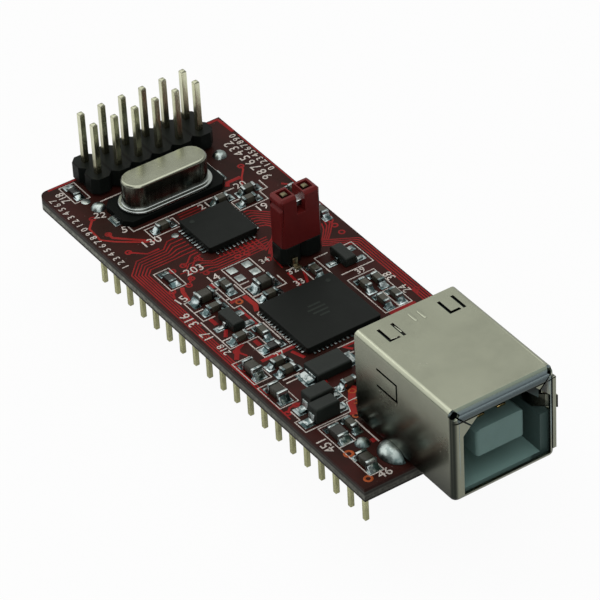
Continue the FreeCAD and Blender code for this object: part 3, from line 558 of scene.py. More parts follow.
def build_port_plastic(p):
    """Black port header with painted shade in the groove between neighbouring cells."""
    f = Finish("port_plastic", rough=0.42, specular=0.08)
    tone = f.dusted(f.tone(p.header, shade(p.header, 0.7), 350.0), shade(p.header, 6.0), 2600.0, 0.06, 0.35)
    cells = divided(minus(f.at["Y"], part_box("header_housing")[0].y), PITCH)
    across = minus(calc("FRACT", plus(cells, 0.5)), 0.5)
    # Painted shade in the groove between cells, on upward faces
    groove = times(ramp(size_of(across), 0.075, 0.04), ramp(f.facing["Z"], 0.6, 0.9))
    f.grain(7000.0, 0.18, 0.004)
    return f.done(blend(groove, tone, shade(p.header, 0.12)))


def build_socket_block(p):
    """Pale plastic of the socket, with painted light on its floor and painted shade on its far wall and close under
    the sheet.
    """
    f = Finish("socket_plastic", rough=0.45, specular=0.2)
    tone = f.dusted(f.tone(p.socket, shade(p.socket, 0.86), 350.0), shade(p.socket, 3.0), 2600.0, 0.04, 0.3)
    # Painted light on the cavity's floor
    floor = times(ramp(f.facing["Z"], 0.8, 0.95), below(f.at["Z"], level(3.0)))
    middle = (BOARD_LOW.y + BOARD_HIGH.y) / 2
    # Painted shade on the far wall of the cavity
    far_wall_shade = times(minus(1.0, floor), ramp(f.at["Y"], middle + 3.3 * MM, middle + 3.7 * MM, 0.0, 0.85))
    tone = blend(far_wall_shade, blend(floor, tone, shade(p.socket, 1.45)), shade(p.socket, 0.3))
    # Painted shade close under the sheet
    under = ramp(f.at["Z"], SHELL_HIGH.z - 3.6 * MM, SHELL_HIGH.z - 2.2 * MM)
    f.grain(5000.0, 0.18, 0.003)
    return f.done(blend(under, tone, shade(p.socket, 0.07)))


def build_dull_solder(m):
    """Hand laid solder: pale on top, painted shade where it turns down or faces away from the light, with slow ripples
    and a few grey pits.
    """
    f = Finish("dull_solder", rough=0.32, metal=1.0)
    tone = f.tone(m.dull_solder, shade(m.dull_solder, 0.7), 700.0)
    # Painted shade where the solder turns down and where it faces away from the light
    away = times(ramp(f.facing["X"], 0.15, 0.6, 0.0, 0.8), ramp(f.at["X"], SHELL_LOW.x, SHELL_LOW.x + MM, 0.2, 1.0))
    tone = blend(larger(ramp(f.facing["Z"], 0.7, 0.2, 0.0, 0.85), away), tone, m.solder_shade)
    tone = f.dusted(f.stained(tone, m.dull_solder, 900.0, 0.5), m.pit, 2400.0, 0.14, 0.5)
    f.grain(2600.0, 0.25, 0.004)
    f.height(noise(f.place, 1100.0, 2.0, 0.5), 0.05)
    return f.done(tone)


def build_ink(p):
    """Printed legend, a little broken at its rims."""
    f = Finish("legend_ink", rough=0.6, specular=0.1)
    broken = ramp(noise(f.place, 5200.0, 5.0, 0.7), 0.34, 0.5)
    f.grain(6000.0, 0.2, 0.003)
    return f.done(blend(broken, shade(p.legend, 0.35), f.tone(p.legend, shade(p.legend, 0.7), 600.0)))


def build_solder(m):
    """Bright solder with stains, slow ripples and small grey pits."""
    f = Finish("bright_solder", rough=0.2, metal=1.0)
    tone = f.stained(f.tone(m.solder, shade(m.solder, 0.72), 900.0), m.solder, 1200.0, 0.92)
    f.grain(2600.0, 0.2, 0.006)
    f.height(noise(f.place, 1300.0, 2.0, 0.5), 0.06)
    return f.done(f.dusted(tone, m.pit, 3200.0, 0.16, 0.5))


def side_bend(f):
    """Where a wall of the shell turns into the mouth's lip, the mask for the painted shade on that bend: 1 in the
    middle of the bend.
    """
    square = times(f.facing["X"], f.facing["X"])
    front = ramp(f.at["X"], SHELL_HIGH.x - 1.3 * MM, SHELL_HIGH.x - 0.9 * MM)
    return times(square, 4.0, minus(1.0, square), ramp(size_of(f.facing["Y"]), 0.2, 0.5), front, clamp=True)


def build_shell_steel(m):
    """Nickel plated sheet: drawn lines along the socket, smudges and small scratches, and painted shade on the bends
    at the mouth, low on the walls, inside the shell and in the window cuts, with a painted highlight in the middle of
    the top bend.
    """
    f = Finish("shell_nickel", rough=0.24, metal=1.0)
    drawn = f.effect("drawn_lines", stretch=(0.05, 1.0, 1.0), scale=5200.0)
    tone = f.tone(m.shell, shade(m.shell, 0.86), 140.0)
    x, y, z = (f.at[axis] for axis in "XYZ")
    turned = {axis: size_of(f.facing[axis]) for axis in "XYZ"}
    front, top, near, far = SHELL_HIGH.x, SHELL_HIGH.z, SHELL_LOW.y, SHELL_FAR
    # Walls painted darker towards the board: painted shade and painted reflection of the dark board
    wall = ramp(turned["Y"], 0.5, 0.9)
    tone = blend(times(wall, ramp(z, level(0.5), level(8.0), 0.93, 0.0)), tone, shade(m.shell, 0.12))
    # The bend over the mouth and its lip: painted shade where the top starts to turn down, a painted highlight in the
    # middle of the bend, painted shade on the lip
    over = times(ramp(f.facing["Z"], 0.1, 0.3), ramp(x, front - 1.3 * MM, front - 0.9 * MM))
    tone = blend(times(over, ramp(f.facing["X"], 0.03, 0.15)), tone, m.shell_top_start_shade)
    tone = blend(times(over, ramp(f.facing["X"], 0.5, 0.75)), tone, shade(m.shell_top_bend_light_and_shade, 2.2))
    lip = times(ramp(f.facing["X"], 0.93, 0.98), ramp(z, top - 1.2 * MM, top - 1.1 * MM))
    tone = blend(lip, tone, shade(m.shell_top_bend_light_and_shade, 0.6))
    # Painted shade on the bends beside the mouth, and a dark line painted under the lip as painted shade in the seam
    side = times(wall, ramp(x, front - 0.75 * MM, front - 0.5 * MM))
    tone = blend(larger(side_bend(f), side), tone, m.shell_side_bend_shade)
    seam = times(ramp(f.facing["X"], 0.5, 0.9), above(z, top - 1.34 * MM), below(z, top - 1.16 * MM))
    tone = blend(seam, tone, shade(m.shell_side_bend_shade, 0.3))
    # Painted shade on the inside of the shell, behind the lips
    inside = times(below(x, front - 0.4 * MM), above(y, near + SHEET), below(y, far - SHEET), below(z, top - SHEET))
    tone = blend(times(inside, 0.85), tone, shade(m.shell, 0.05))
    # Painted shade on the cut walls of the windows, in the top and in the near wall
    in_top = times(above(z, top - 0.45 * MM), above(y, near + MM), below(y, far - MM))
    in_wall = times(below(z, top - MM), below(y, near + 0.45 * MM))
    across, flat, end_on = (above(turned[axis], 0.6) for axis in "YZX")
    cut = larger(times(across, in_top), times(flat, in_wall), end_on)
    tone = blend(times(cut, above(x, SHELL_LOW.x + 0.6 * MM), below(x, front - 2.0 * MM)), tone, shade(m.shell, 0.03))
    scratch = f.effect("drawn_lines", stretch=(0.4, 0.9, 0.12), scale=1500.0)["Mask"]
    tone = blend(times(scratch, 0.34), tone, shade(m.shell, 1.25))
    tone = f.dusted(tone, shade(m.shell, 0.55), 2800.0, 0.12, 0.3)
    f.grain(3600.0, 0.16, 0.0012)
    f.height(drawn["Height"], 0.0008)
    f.height(noise(f.place, 120.0, 2.0, 0.5), 0.05)
    return f.done(blend(times(drawn["Mask"], 0.16), tone, shade(m.shell, 0.6)))


def build_can_steel(m):
    """Satin steel can: a fine scatter of marks, its wall painted darker, painted shade, with upright streaks, its
    flange painted lighter, a painted highlight.
    """
    f = Finish("can_steel", rough=0.22, metal=1.0)
    streaks = ramp(f.effect("drawn_lines", stretch=(1.0, 1.0, 0.05), scale=2600.0)["Height"], 0.38, 0.62)
    # The side painted darker than the top: painted shade
    wall = blend(streaks, shade(m.can_side_shade, 0.35), m.can_side_shade)
    tone = blend(ramp(size_of(f.facing["Z"]), 0.05, 0.25), wall, f.tone(m.can, shade(m.can, 0.8), 380.0))
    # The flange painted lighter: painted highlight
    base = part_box("crystal_can")[0].z
    tone = blend(ramp(f.at["Z"], base + 0.62 * MM, base + 0.52 * MM), tone, m.can_flange_highlight)
    f.grain(5200.0, 0.2, 0.002)
    f.height(f.effect("drawn_lines", stretch=(1.0, 0.06, 1.0), scale=6000.0)["Height"], 0.0012)
    return f.done(f.dusted(tone, shade(m.can, 0.5), 4200.0, 0.2, 0.3))


# Moulded finishes: name, colour, its factor, and roughness, drift, grain, depth, specks and specular share
MOULDED = {
    "strip": ("strip_plastic", "strip", 1.0, 0.42, 0.75, 7000.0, 0.004, 0.0, 0.10),
    "header": ("header_plastic", "header", 1.0, 0.4, 0.75, 7000.0, 0.004, 0.06, 0.10),
    "seat": ("seat_plastic", "header", 0.6, 0.5, 0.75, 7000.0, 0.004, 0.0, 0.04),
    "chip": ("chip_compound", "chip", 1.0, 0.5, 0.8, 9000.0, 0.006, 0.05, 0.10),
    "small_chip": ("small_chip_compound", "chip", 2.4, 0.45, 0.7, 9000.0, 0.006, 0.05, 0.16),
    "chip_mark": ("chip_mark", "chip", 3.2, 0.45, 0.6, 9000.0, 0.004, 0.0, 0.10),
    "shunt": ("cap_plastic", "shunt", 1.0, 0.36, 0.8, 6000.0, 0.003, 0.04, 0.16),
    "ceramic": ("ceramic_body", "ceramic", 1.0, 0.38, 0.6, 8000.0, 0.006, 0.0, 0.3),
    "dark_ceramic": ("dark_ceramic_body", "ceramic", 0.62, 0.4, 0.6, 6000.0, 0.012, 0.0, 0.3),
    "resistor": ("resistor_glaze", "resistor", 1.0, 0.28, 0.7, 7000.0, 0.004, 0.0, 0.3),
    "ferrite": ("ferrite_body", "ferrite", 1.0, 0.42, 0.7, 8000.0, 0.008, 0.0, 0.25),
}
# Drawn lines: none, or along upright pins
EVEN, UPRIGHT = (1.0, 1.0, 1.0), (1.0, 1.0, 0.03)
# Plated finishes: name, colour, its factor, and roughness, second tone, lines, depth, spread, the factor of the
# painted shade (below 1) or painted highlight (above 1) on upward faces, and stains
PLATED = {
    # Header posts: painted shade on their upward ends, and low down near the block
    "gilt": ("gilt_post", "gilt", 1.0, 0.24, 0.7, UPRIGHT, 0.0015, 0.12, 0.4, 0.0),
    # Posts under the cap: darker gold and darker upward ends, painted shade
    "jumper_gilt": ("gilt_jumper_post", "jumper_post", 1.0, 0.3, 0.7, UPRIGHT, 0.0015, 0.12, 0.45, 0.0),
    "pin": ("gilt_pin", "pin", 1.0, 0.26, 0.7, UPRIGHT, 0.0015, 0.12, 1.0, 0.0),
    "contact": ("gilt_contact", "contact", 1.0, 0.25, 0.8, (0.04, 1.0, 1.0), 0.001, 0.12, 1.0, 0.0),
    "tin": ("tinned_lead", "tin", 1.0, 0.28, 0.72, EVEN, 0.003, 0.2, 1.0, 0.85),
    # The clip: tin painted darker, painted shade, with a painted highlight on its upward edges
    "clip": ("clip_metal", "tin", 0.4, 0.28, 0.72, EVEN, 0.003, 0.2, 5.0, 0.0),
    "pad": ("bare_pad", "pad", 1.0, 0.35, 0.75, EVEN, 0.003, 0.12, 1.0, 0.5),
}


def finish_for(kind):
    """A finish by name, built once from the scene's colours."""
    if kind in FINISHES:
        return FINISHES[kind]
    b, m, p = (looks(key) for key in ("board_looks", "metal_looks", "moulded_looks"))
    if kind in MOULDED:
        name, field, factor, *values = MOULDED[kind]
        made = moulded(name, shade(getattr(p, field), factor), *values)
    elif kind in PLATED:
        name, field, factor, *values = PLATED[kind]
        value = shade(getattr(b if kind == "pad" else m, field), factor)
        made = plated(name, value, *values, foot=m.post_foot_shade if kind == "gilt" else None)
    else:
        maker, *values = {
            "board": (build_board_coat, b), "legend": (build_ink, b), "port": (build_port_plastic, p),
            "socket": (build_socket_block, p), "solder": (build_solder, m), "dull_solder": (build_dull_solder, m),
            "can": (build_can_steel, m), "shell": (build_shell_steel, m),
            "track": (build_lacquer, "track_lacquer", b.track, 0.3),
            "track_bright": (build_lacquer, "track_lacquer_bright", b.track_bright, 0.26),
            "via": (build_lacquer, "via_lacquer", b.via, 0.3),
        }[kind]
        made = maker(*values)
    FINISHES[kind] = made
    return made


# -------- modelling helpers

# How near points are when they are one point, when they lie on a wall, and when they are past a plane
MERGED, TOUCHING, BEYOND = 2e-6, 5e-6, 1e-7
# Segments, angle and smoothing where solder is rounded
SOLDER_FLOW = (3, 25.0, 70.0)


def only(obj):
    """Leaves this object alone selected and active."""
    if bpy.context.object and bpy.context.object.mode != "OBJECT":
        leave()
    bpy.ops.object.select_all(action="DESELECT")
    obj.select_set(True)
    bpy.context.view_layer.objects.active = obj


def added(operator, **values):
    """What a primitive's operator adds."""
    bpy.ops.object.select_all(action="DESELECT")
    operator(**values)
    return bpy.context.object


def edit(select=None):
    """Goes into edit mode, and there selects or deselects everything where that is asked for."""
    bpy.ops.object.mode_set(mode="EDIT")
    if select:
        bpy.ops.mesh.select_all(action=select)


def leave():
    """Goes back to object mode."""
    bpy.ops.object.mode_set(mode="OBJECT")


def edit_edges(obj, wanted):
    """Goes into edit mode with those edges selected whose two ends pass the test."""
    only(obj)
    edit("DESELECT")
    bpy.ops.mesh.select_mode(type="EDGE")
    leave()
    places = [v.co for v in obj.data.vertices]
    for edge in obj.data.edges:
        edge.select = wanted(*(places[i] for i in edge.vertices))
    edit()


def raise_faces(height):
    """Draws the selected faces up, with walls below them."""
    bpy.ops.mesh.extrude_region_move(TRANSFORM_OT_translate={"value": (0, 0, height)})


def finish_faces():
    """Turns every face outward and leaves edit mode."""
    bpy.ops.mesh.select_all(action="SELECT")
    bpy.ops.mesh.normals_make_consistent(inside=False)
    leave()


def smooth_below(degrees):
    bpy.ops.object.shade_smooth_by_angle(angle=math.radians(degrees))


def apply(modifier):
    bpy.ops.object.modifier_apply(modifier=modifier.name)


def named(obj, name):
    obj.name = obj.data.name = name
    return obj


def settle(obj, name):
    """Puts an object's place into its mesh, and names both."""
    only(obj)
    bpy.ops.object.transform_apply(location=True, rotation=True, scale=True)
    return named(obj, name)


def as_mesh(obj):
    only(obj)
    bpy.ops.object.convert(target="MESH")
    return bpy.context.object


def dress(obj, kind, node=None):
    """Gives a finished piece its material and the body it moves with."""
    body = NODE_BODY[node] if node else "board"
    obj.data.materials.clear()
    obj.data.materials.append(finish_for(kind))
    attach(obj, body)
    if node:
        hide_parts(node)


def merged_copy(node, name):
    """A copy of a CAD node's mesh as one closed skin with flat faces."""
    obj = bpy.data.objects.new(name, frame["nodes"][node].data.copy())
    bpy.context.scene.collection.objects.link(named(obj, name))
    only(obj)
    edit("SELECT")
    bpy.ops.mesh.remove_doubles(threshold=MERGED)
    bpy.ops.mesh.dissolve_limited(angle_limit=math.radians(1.0))
    leave()
    return obj


def soften(obj, width, segments=2, angle=35.0, smooth=40.0):
    """Rounds the hard edges of a piece."""
    only(obj)
    bevel = obj.modifiers.new("edges", "BEVEL")
    bevel.width, bevel.segments, bevel.limit_method = width, segments, "ANGLE"
    bevel.angle_limit, bevel.use_clamp_overlap = math.radians(angle), True
    apply(bevel)
    smooth_below(smooth)
    weigh = obj.modifiers.new("flat faces", "WEIGHTED_NORMAL")
    weigh.weight, weigh.keep_sharp = 90, True
    apply(weigh)
    return obj


def blunt_corners(obj, width):
    """Rounds the upright corner edges of a square body."""
    edit_edges(obj, lambda a, b: abs(a.z - b.z) > 0.2 * MM and (a.xy - b.xy).length < 0.15 * MM)
    bpy.ops.mesh.bevel(offset=width, segments=3, clamp_overlap=True)
    leave()
    return obj


def rounded_node(node, kind, slot, width, segments=2, angle=35.0, smooth=40.0):
    """A CAD node shown with rounded edges, their width in millimetres."""
    obj = soften(merged_copy(node, node + "_shown"), width * MM, segments, angle, smooth)
    dress(obj, kind, node)


def flowing_solder(node, walls):
    """Solder from a CAD node, drawn smooth, with its rims kept where it wets the board or a wall."""
    obj = merged_copy(node, node + "_shown")
    seats = [(2, BOARD_HIGH.z), (2, BOARD_LOW.z)] + [(1, wall) for wall in walls]
    edit_edges(obj, lambda *ends: any(all(abs(p[axis] - at) < TOUCHING for p in ends) for axis, at in seats))
    bpy.ops.transform.edge_crease(value=1.0)
    leave()
    flow = obj.modifiers.new("flow", "SUBSURF")
    flow.levels = flow.render_levels = 3
    apply(flow)
    smooth_below(55)
    dress(obj, "dull_solder", node)


def flat_strokes(name, strokes, height):
    """Raised strokes on the board: (points, width, closed), points in millimetres."""
    obj = added(bpy.ops.curve.primitive_bezier_curve_add, location=(0, 0, 0))
    line = obj.data
    line.splines.clear()
    line.dimensions, line.bevel_mode = "3D", "ROUND"
    line.bevel_depth, line.bevel_resolution, line.use_fill_caps = 1.0, 1, True
    line.resolution_u = 1
    for points, width, closed in strokes:
        spline = line.splines.new("POLY")
        spline.points.add(len(points) - 1)
        spline.use_cyclic_u = closed
        for knot, (x, y) in zip(spline.points, points):
            where = spot(x, y)
            knot.co = (where.x, where.y, 0.0, 1.0)
            knot.radius = width * MM / 2
    obj = as_mesh(obj)
    widest = max(width for _, width, _ in strokes) * MM / 2
    edit("SELECT")
    bpy.ops.transform.resize(value=(1.0, 1.0, height / widest), center_override=(0.0, 0.0, 0.0))
    bpy.ops.transform.translate(value=(0.0, 0.0, BOARD_HIGH.z))
    leave()
    smooth_below(50)
    return named(obj, name)


def number_on(name, b, text, x, y, turn, size, spread=1.0):
    """Plain figures on the board, cut from the text tool and made a mesh."""
    obj = added(bpy.ops.object.text_add, location=(0, 0, 0))
    obj.data.body, obj.data.size = text, size * MM
    obj.data.align_x, obj.data.align_y = "CENTER", "CENTER"
    obj.data.extrude, obj.data.resolution_u, obj.data.offset = b.relief * LEGEND_RELIEF, 2, b.number_weight
    obj.data.space_character = spread
    obj = as_mesh(obj)
    obj.rotation_euler = (0, 0, math.radians(turn))
    obj.location = spot(x, y)
    return settle(obj, name)


def join(objs, name):
    only(objs[0])
    for o in objs:
        o.select_set(True)
    bpy.ops.object.join()
    return named(bpy.context.object, name)


def between(first, last, count):
    """Routes from the first to the last, evenly spread."""
    shares = [i / (count - 1) for i in range(count)]
    return [[(a[0] + (b[0] - a[0]) * t, a[1] + (b[1] - a[1]) * t) for a, b in zip(first, last)] for t in shares]


def ring_route(x, y, radius, knots=14):
    turns = [2 * math.pi * i / knots for i in range(knots)]
    return [(x + radius * math.cos(a), y + radius * math.sin(a)) for a in turns]


def islands(node):
    """Middle and size of each separate solid of a CAD node, in millimetres over the board."""
    only(merged_copy(node, node + "_probe"))
    bpy.ops.mesh.separate(type="LOOSE")
    found = []
    for part in list(bpy.context.selected_objects):
        places = [v.co for v in part.data.vertices]
        low, high = (Vector([end(p[i] for p in places) for i in range(3)]) for end in (min, max))
        found.append((((low + high) / 2 - spot(0, 0)) / MM, (high - low) / MM))
        bpy.data.objects.remove(part)
    return found


def pads_under(node, growth, centre=None):
    """Pads under the solids of a node, set out from a body's centre line where one is given."""
    pads = []
    for at, size in islands(node):
        shift = 0.0 if centre is None else math.copysign(SET_OUT, at.y - centre)
        pads.append((at.x, at.y + shift, size.x + growth[0], size.y + growth[1]))
    return pads


def slabs(name, boxes, height, bevel):
    """Low slabs on the board, one mesh: centre, length along the board and width across it, discs where that is 0."""
    obj = added(bpy.ops.mesh.primitive_plane_add, size=1.0, location=(0, 0, 0))
    edit("SELECT")
    bpy.ops.mesh.delete(type="VERT")
    for x, y, along, across in boxes:
        where = spot(x, y)
        if across:
            bpy.ops.mesh.primitive_plane_add(size=1.0, location=where, scale=(1, 1, 1))
            bpy.ops.transform.resize(value=(along * MM, across * MM, 1.0), center_override=where)
        else:
            bpy.ops.mesh.primitive_circle_add(vertices=24, radius=along * MM / 2, fill_type="NGON", location=where)
        raise_faces(height)
    finish_faces()
    return soften(named(obj, name), bevel * MM, 2, 35.0, 60.0)


def dimple_ring(name, place, radius):
    """The rim of a moulded dimple, as a shallow ring on a chip."""
    obj = added(bpy.ops.mesh.primitive_circle_add, vertices=28, radius=radius, fill_type="NGON", location=place)
    edit()
    raise_faces(0.012 * MM)
    bpy.ops.mesh.inset(thickness=radius * 0.28)
    bpy.ops.transform.translate(value=(0, 0, -0.010 * MM))
    finish_faces()
    smooth_below(30)
    return settle(obj, name)


def faint_bars(name, place, step):
    """Faint plain bars across the top of a chip."""
    obj = added(bpy.ops.mesh.primitive_plane_add, size=1.0, location=place)
    edit()
    bpy.ops.mesh.delete(type="VERT")
    for row, (share, shift) in enumerate(((0.7, 0.1), (1.0, -0.1), (0.85, 0.05), (0.55, 0.2))):
        where = place + Vector(((row - 1.5) * step, shift * step, 0))
        bpy.ops.mesh.primitive_plane_add(size=1.0, location=where)
        bpy.ops.transform.resize(value=(step * 0.42, step * 3.4 * share, 1.0), center_override=where)
        raise_faces(0.008 * MM)
    finish_faces()
    return settle(obj, name)


def raised_bead(name, x, y):
    """A low rounded bead pressed up from the sheet."""
    start, end = spot(x, y, TOP_OF_SHELL), spot(x + BEAD_LENGTH, y, TOP_OF_SHELL)
    radius = BEAD_WIDTH * MM / 2
    obj = added(bpy.ops.mesh.primitive_uv_sphere_add, segments=20, ring_count=10, radius=radius, location=start)
    settle(obj, name)
    edit("DESELECT")
    leave()
    for v in obj.data.vertices:
        v.select = v.co.x > start.x + BEYOND
    edit()
    bpy.ops.transform.translate(value=end - start)
    bpy.ops.mesh.select_all(action="SELECT")
    bpy.ops.transform.resize(value=(1.0, 1.0, BEAD_RISE * MM / radius), center_override=start)
    leave()
    bpy.ops.object.shade_smooth()
    return obj


# -------- pieces


class MODULE_OT_board(bpy.types.Operator):
    """Board with its lacquered faces and bare rim"""
    bl_idname = "module.board"
    bl_label = "Board"

    def execute(self, context):
        rounded_node("circuit_board", "board", "board_laminate", 0.08, 1, 60.0)
        return {"FINISHED"}


class MODULE_OT_tracks(bpy.types.Operator):
    """Copper tracks under the lacquer, and the rings of the through holes"""
    bl_idname = "module.tracks"
    bl_label = "Tracks"

    def execute(self, context):
        relief = looks("board_looks").relief
        plain = [(route, width, False) for count, width, first, last in TRACK_RUNS
                 for route in between(rows(first), rows(last), count)]
        plain += [(route, width, False) for route, width in TRACKS]
        plain += [(ring_route(x, y, VIA_RADIUS), VIA_WIDTH, True) for x, y in SMALL_VIAS]
        bright = [(route, width, False) for route, width in BRIGHT_TRACKS]
        rings = [(ring_route(x, y, radius, 20), radius * 0.7, True) for x, y, radius in BARE_VIAS]
        for name, strokes, kind, share in (("tracks", plain, "track", 1.0),
                                           ("bright_tracks", bright, "track_bright", 1.2),
                                           ("bare_rings", rings, "via", 1.6)):
            dress(flat_strokes(name, strokes, relief * share), kind)
        return {"FINISHED"}


class MODULE_OT_legend(bpy.types.Operator):
    """Printed outlines and plain numbers"""
    bl_idname = "module.legend"
    bl_label = "Legend"

    def execute(self, context):
        b = looks("board_looks")
        wide = b.legend_width / MM
        strokes = [(route, wide, False) for route in LEGEND_LINES]
        strokes += [(((x0, y0), (x1, y0), (x1, y1), (x0, y1)), wide, True) for x0, y0, x1, y1 in LEGEND_BOXES]
        dress(flat_strokes("legend_outlines", strokes, b.relief * LEGEND_RELIEF), "legend")
        numbers = [number_on("number_%d" % i, b, text, x, y, turn, size * b.number_scale)
                   for i, (text, x, y, turn, size) in enumerate(LEGEND_NUMBERS)]
        numbers += [number_on("row_%d" % i, b, *row) for i, row in enumerate(LEGEND_ROWS)]
        dress(join(numbers, "legend_numbers"), "legend")
        return {"FINISHED"}


class MODULE_OT_pads(bpy.types.Operator):
    """Tinned pads, bare ones and those under every small part"""
    bl_idname = "module.pads"
    bl_label = "Pads"

    def execute(self, context):
        spots = pads_under("chip_part_solder", UNDER_SOLDER)
        for part in SMALL_CHIPS:
            spots += pads_under(part + "_legs", UNDER_LEGS, islands(part)[0][0].y)
        for node in ("crystal_leads", "jumper_posts"):
            spots += pads_under(node, UNDER_POSTS)
        height = looks("board_looks").relief * 1.5
        dress(slabs("part_pads", spots, height, 0.03), "solder")
        dress(slabs("bare_pads", BARE_PADS, height * 1.3, 0.04), "pad")
        return {"FINISHED"}


class MODULE_OT_rows(bpy.types.Operator):
    """Pin strips and their square pins"""
    bl_idname = "module.rows"
    bl_label = "Pin rows"

    def execute(self, context):
        for side in ("near", "far"):
            rounded_node("dip_strip_" + side, "strip", "strip_plastic", 0.08)
            rounded_node("dip_pins_" + side, "pin", "gilt_pins", 0.04)
        return {"FINISHED"}


class MODULE_OT_header(bpy.types.Operator):
    """Header blocks, posts and their soldered tails"""
    bl_idname = "module.header"
    bl_label = "Port header"

    def execute(self, context):
        rounded_node("header_housing", "port", "header_plastic", 0.09)
        for row in ("back", "front"):
            rounded_node("header_posts_" + row, "gilt", "gilt_posts", 0.05)
        rounded_node("header_tail_solder", "solder", "solder", 0.12, *SOLDER_FLOW)
        return {"FINISHED"}


class MODULE_OT_crystal(bpy.types.Operator):
    """Crystal can on its seat"""
    bl_idname = "module.crystal"
    bl_label = "Crystal"

    def execute(self, context):
        rounded_node("crystal_can", "can", "can_metal", 0.14, 3, 50.0, 45.0)
        rounded_node("crystal_seat", "seat", "seat_plastic", 0.07)
        rounded_node("crystal_leads", "tin", "tinned_metal", 0.06)
        return {"FINISHED"}


class MODULE_OT_chips(bpy.types.Operator):
    """Both flat chips: bodies with a corner dimple and faint plain bars, and their leads"""
    bl_idname = "module.chips"
    bl_label = "Chips"

    def execute(self, context):
        p = looks("moulded_looks")
        inset = p.dimple * 1.9
        marks = []
        for chip in ("microcontroller", "usb_bridge_chip"):
            body = blunt_corners(merged_copy(chip, chip + "_shown"), p.corner)
            dress(soften(body, p.edge), "chip", chip)
            rounded_node(chip + "_leads", "tin", "tinned_metal", 0.04, 1)
            low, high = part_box(chip)
            y = low.y + inset if chip == "microcontroller" else high.y - inset
            marks.append(dimple_ring(chip + "_dimple", Vector((low.x + inset, y, high.z)), p.dimple / 2))
        low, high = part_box("usb_bridge_chip")
        middle = (low + high) / 2
        marks.append(faint_bars("chip_bars", Vector((middle.x - 0.1 * MM, middle.y, high.z)), 0.62 * MM))
        dress(join(marks, "chip_marks"), "chip_mark")
        return {"FINISHED"}


class MODULE_OT_jumper(bpy.types.Operator):
    """Jumper posts, base and the red cap that pulls off"""
    bl_idname = "module.jumper"
    bl_label = "Jumper"

    def execute(self, context):
        rounded_node("jumper_base", "header", "header_plastic", 0.08)
        rounded_node("jumper_posts", "jumper_gilt", "gilt_posts", 0.05)
        rounded_node("jumper_shunt", "shunt", "shunt_plastic", 0.09, 3)
        rounded_node("shunt_clip", "clip", "gilt_posts", 0.03, 1)
        return {"FINISHED"}


class MODULE_OT_socket(bpy.types.Operator):
    """Socket shell, its insulator and contacts"""
    bl_idname = "module.socket"
    bl_label = "Socket"

    def execute(self, context):
        rounded_node("usb_shell", "shell", "shell_steel", 0.05, 2, 50.0, 45.0)
        beads = [raised_bead("bead_%d" % i, *place) for i, place in enumerate(PRESSED_BEADS)]
        dress(join(beads, "pressed_beads"), "shell")
        rounded_node("usb_insulator", "socket", "socket_plastic", 0.08)
        for row in ("low", "high"):
            for side in ("near", "far"):
                rounded_node("usb_contact_%s_%s" % (row, side), "contact", "gilt_posts", 0.04, 1)
        return {"FINISHED"}


class MODULE_OT_solder(bpy.types.Operator):
    """Solder domes, mounds and fillets"""
    bl_idname = "module.solder"
    bl_label = "Solder"

    def execute(self, context):
        for node, width in (("chip_part_solder", 0.1), ("socket_underside_solder", 0.12)):
            rounded_node(node, "solder", "solder", width, *SOLDER_FLOW)
        for node in ("corner_pin_solder", "shell_tab_solder"):
            flowing_solder(node, (SHELL_LOW.y, SHELL_FAR))
        return {"FINISHED"}


class MODULE_OT_small_parts(bpy.types.Operator):
    """Chip capacitors, resistors, the ferrite bead, transistors and diodes"""
    bl_idname = "module.small_parts"
    bl_label = "Small parts"

    def execute(self, context):
        for stem, rest, kind, slot, edge in (("small_capacitor", "_bodies", "ceramic", "ceramic", 0.06),
                                             ("large_capacitor", "_bodies", "dark_ceramic", "ceramic", 0.2),
                                             ("resistor", "_bodies", "resistor", "chip_part_dark", 0.06),
                                             ("ferrite_bead", "", "ferrite", "chip_part_dark", 0.06)):
            rounded_node(stem + rest, kind, slot, edge)
            rounded_node(stem + "_ends", "tin", "tinned_metal", 0.08)
        for part in SMALL_CHIPS:
            rounded_node(part, "small_chip", "chip_moulding", 0.07)
            rounded_node(part + "_legs", "tin", "tinned_metal", 0.05)
        return {"FINISHED"}


class MODULE_OT_stage(bpy.types.Operator):
    """Floor, soft lamps, surroundings and camera"""
    bl_idname = "module.stage"
    bl_label = "Stage"

    def execute(self, context):
        s = looks("stage_looks")
        floor = added(bpy.ops.mesh.primitive_plane_add, size=s.floor_size, location=(0, 0, CAD_LOW.z))
        settle(floor, "floor")
        floor.data.materials.append(build_floor(s))
        for name, place, target, size, power in LAMPS:
            build_lamp(name, place, target, s.lamp_size * size, s.lamp_power * power)
        build_world()
        build_camera()
        context.scene.view_settings.view_transform = "Standard"
        return {"FINISHED"}


# -------- stage

# Name, place, where it looks, and its size and power against the stage's
LAMPS = (
    ("overhead_softbox", (-0.06, 0.04, 0.60), (0, 0, 0), 1.6, 0.46),
    ("side_softbox", (-0.45, -0.35, 0.35), (0, 0, 0.01), 1.2, 0.22),
    ("front_softbox", (0.45, -0.28, 0.42), (0, 0, 0.01), 1.2, 0.34),
)
# The room grows lighter along this direction, from one tone to the other
ROOM_LEAN = (-0.62, 0.40, 0.67)
ROOM_DARK, ROOM_LIGHT = (0.07, 0.075, 0.08), (0.86, 0.87, 0.84)
CAMERA_PLACE = (0.264681, -0.167889, 0.254272)
CAMERA_RIGHT = (0.56298279, 0.82523849, -0.04507565)
CAMERA_UP = (-0.4871721, 0.37542043, 0.78849404)
CAMERA_LENS = 236.14


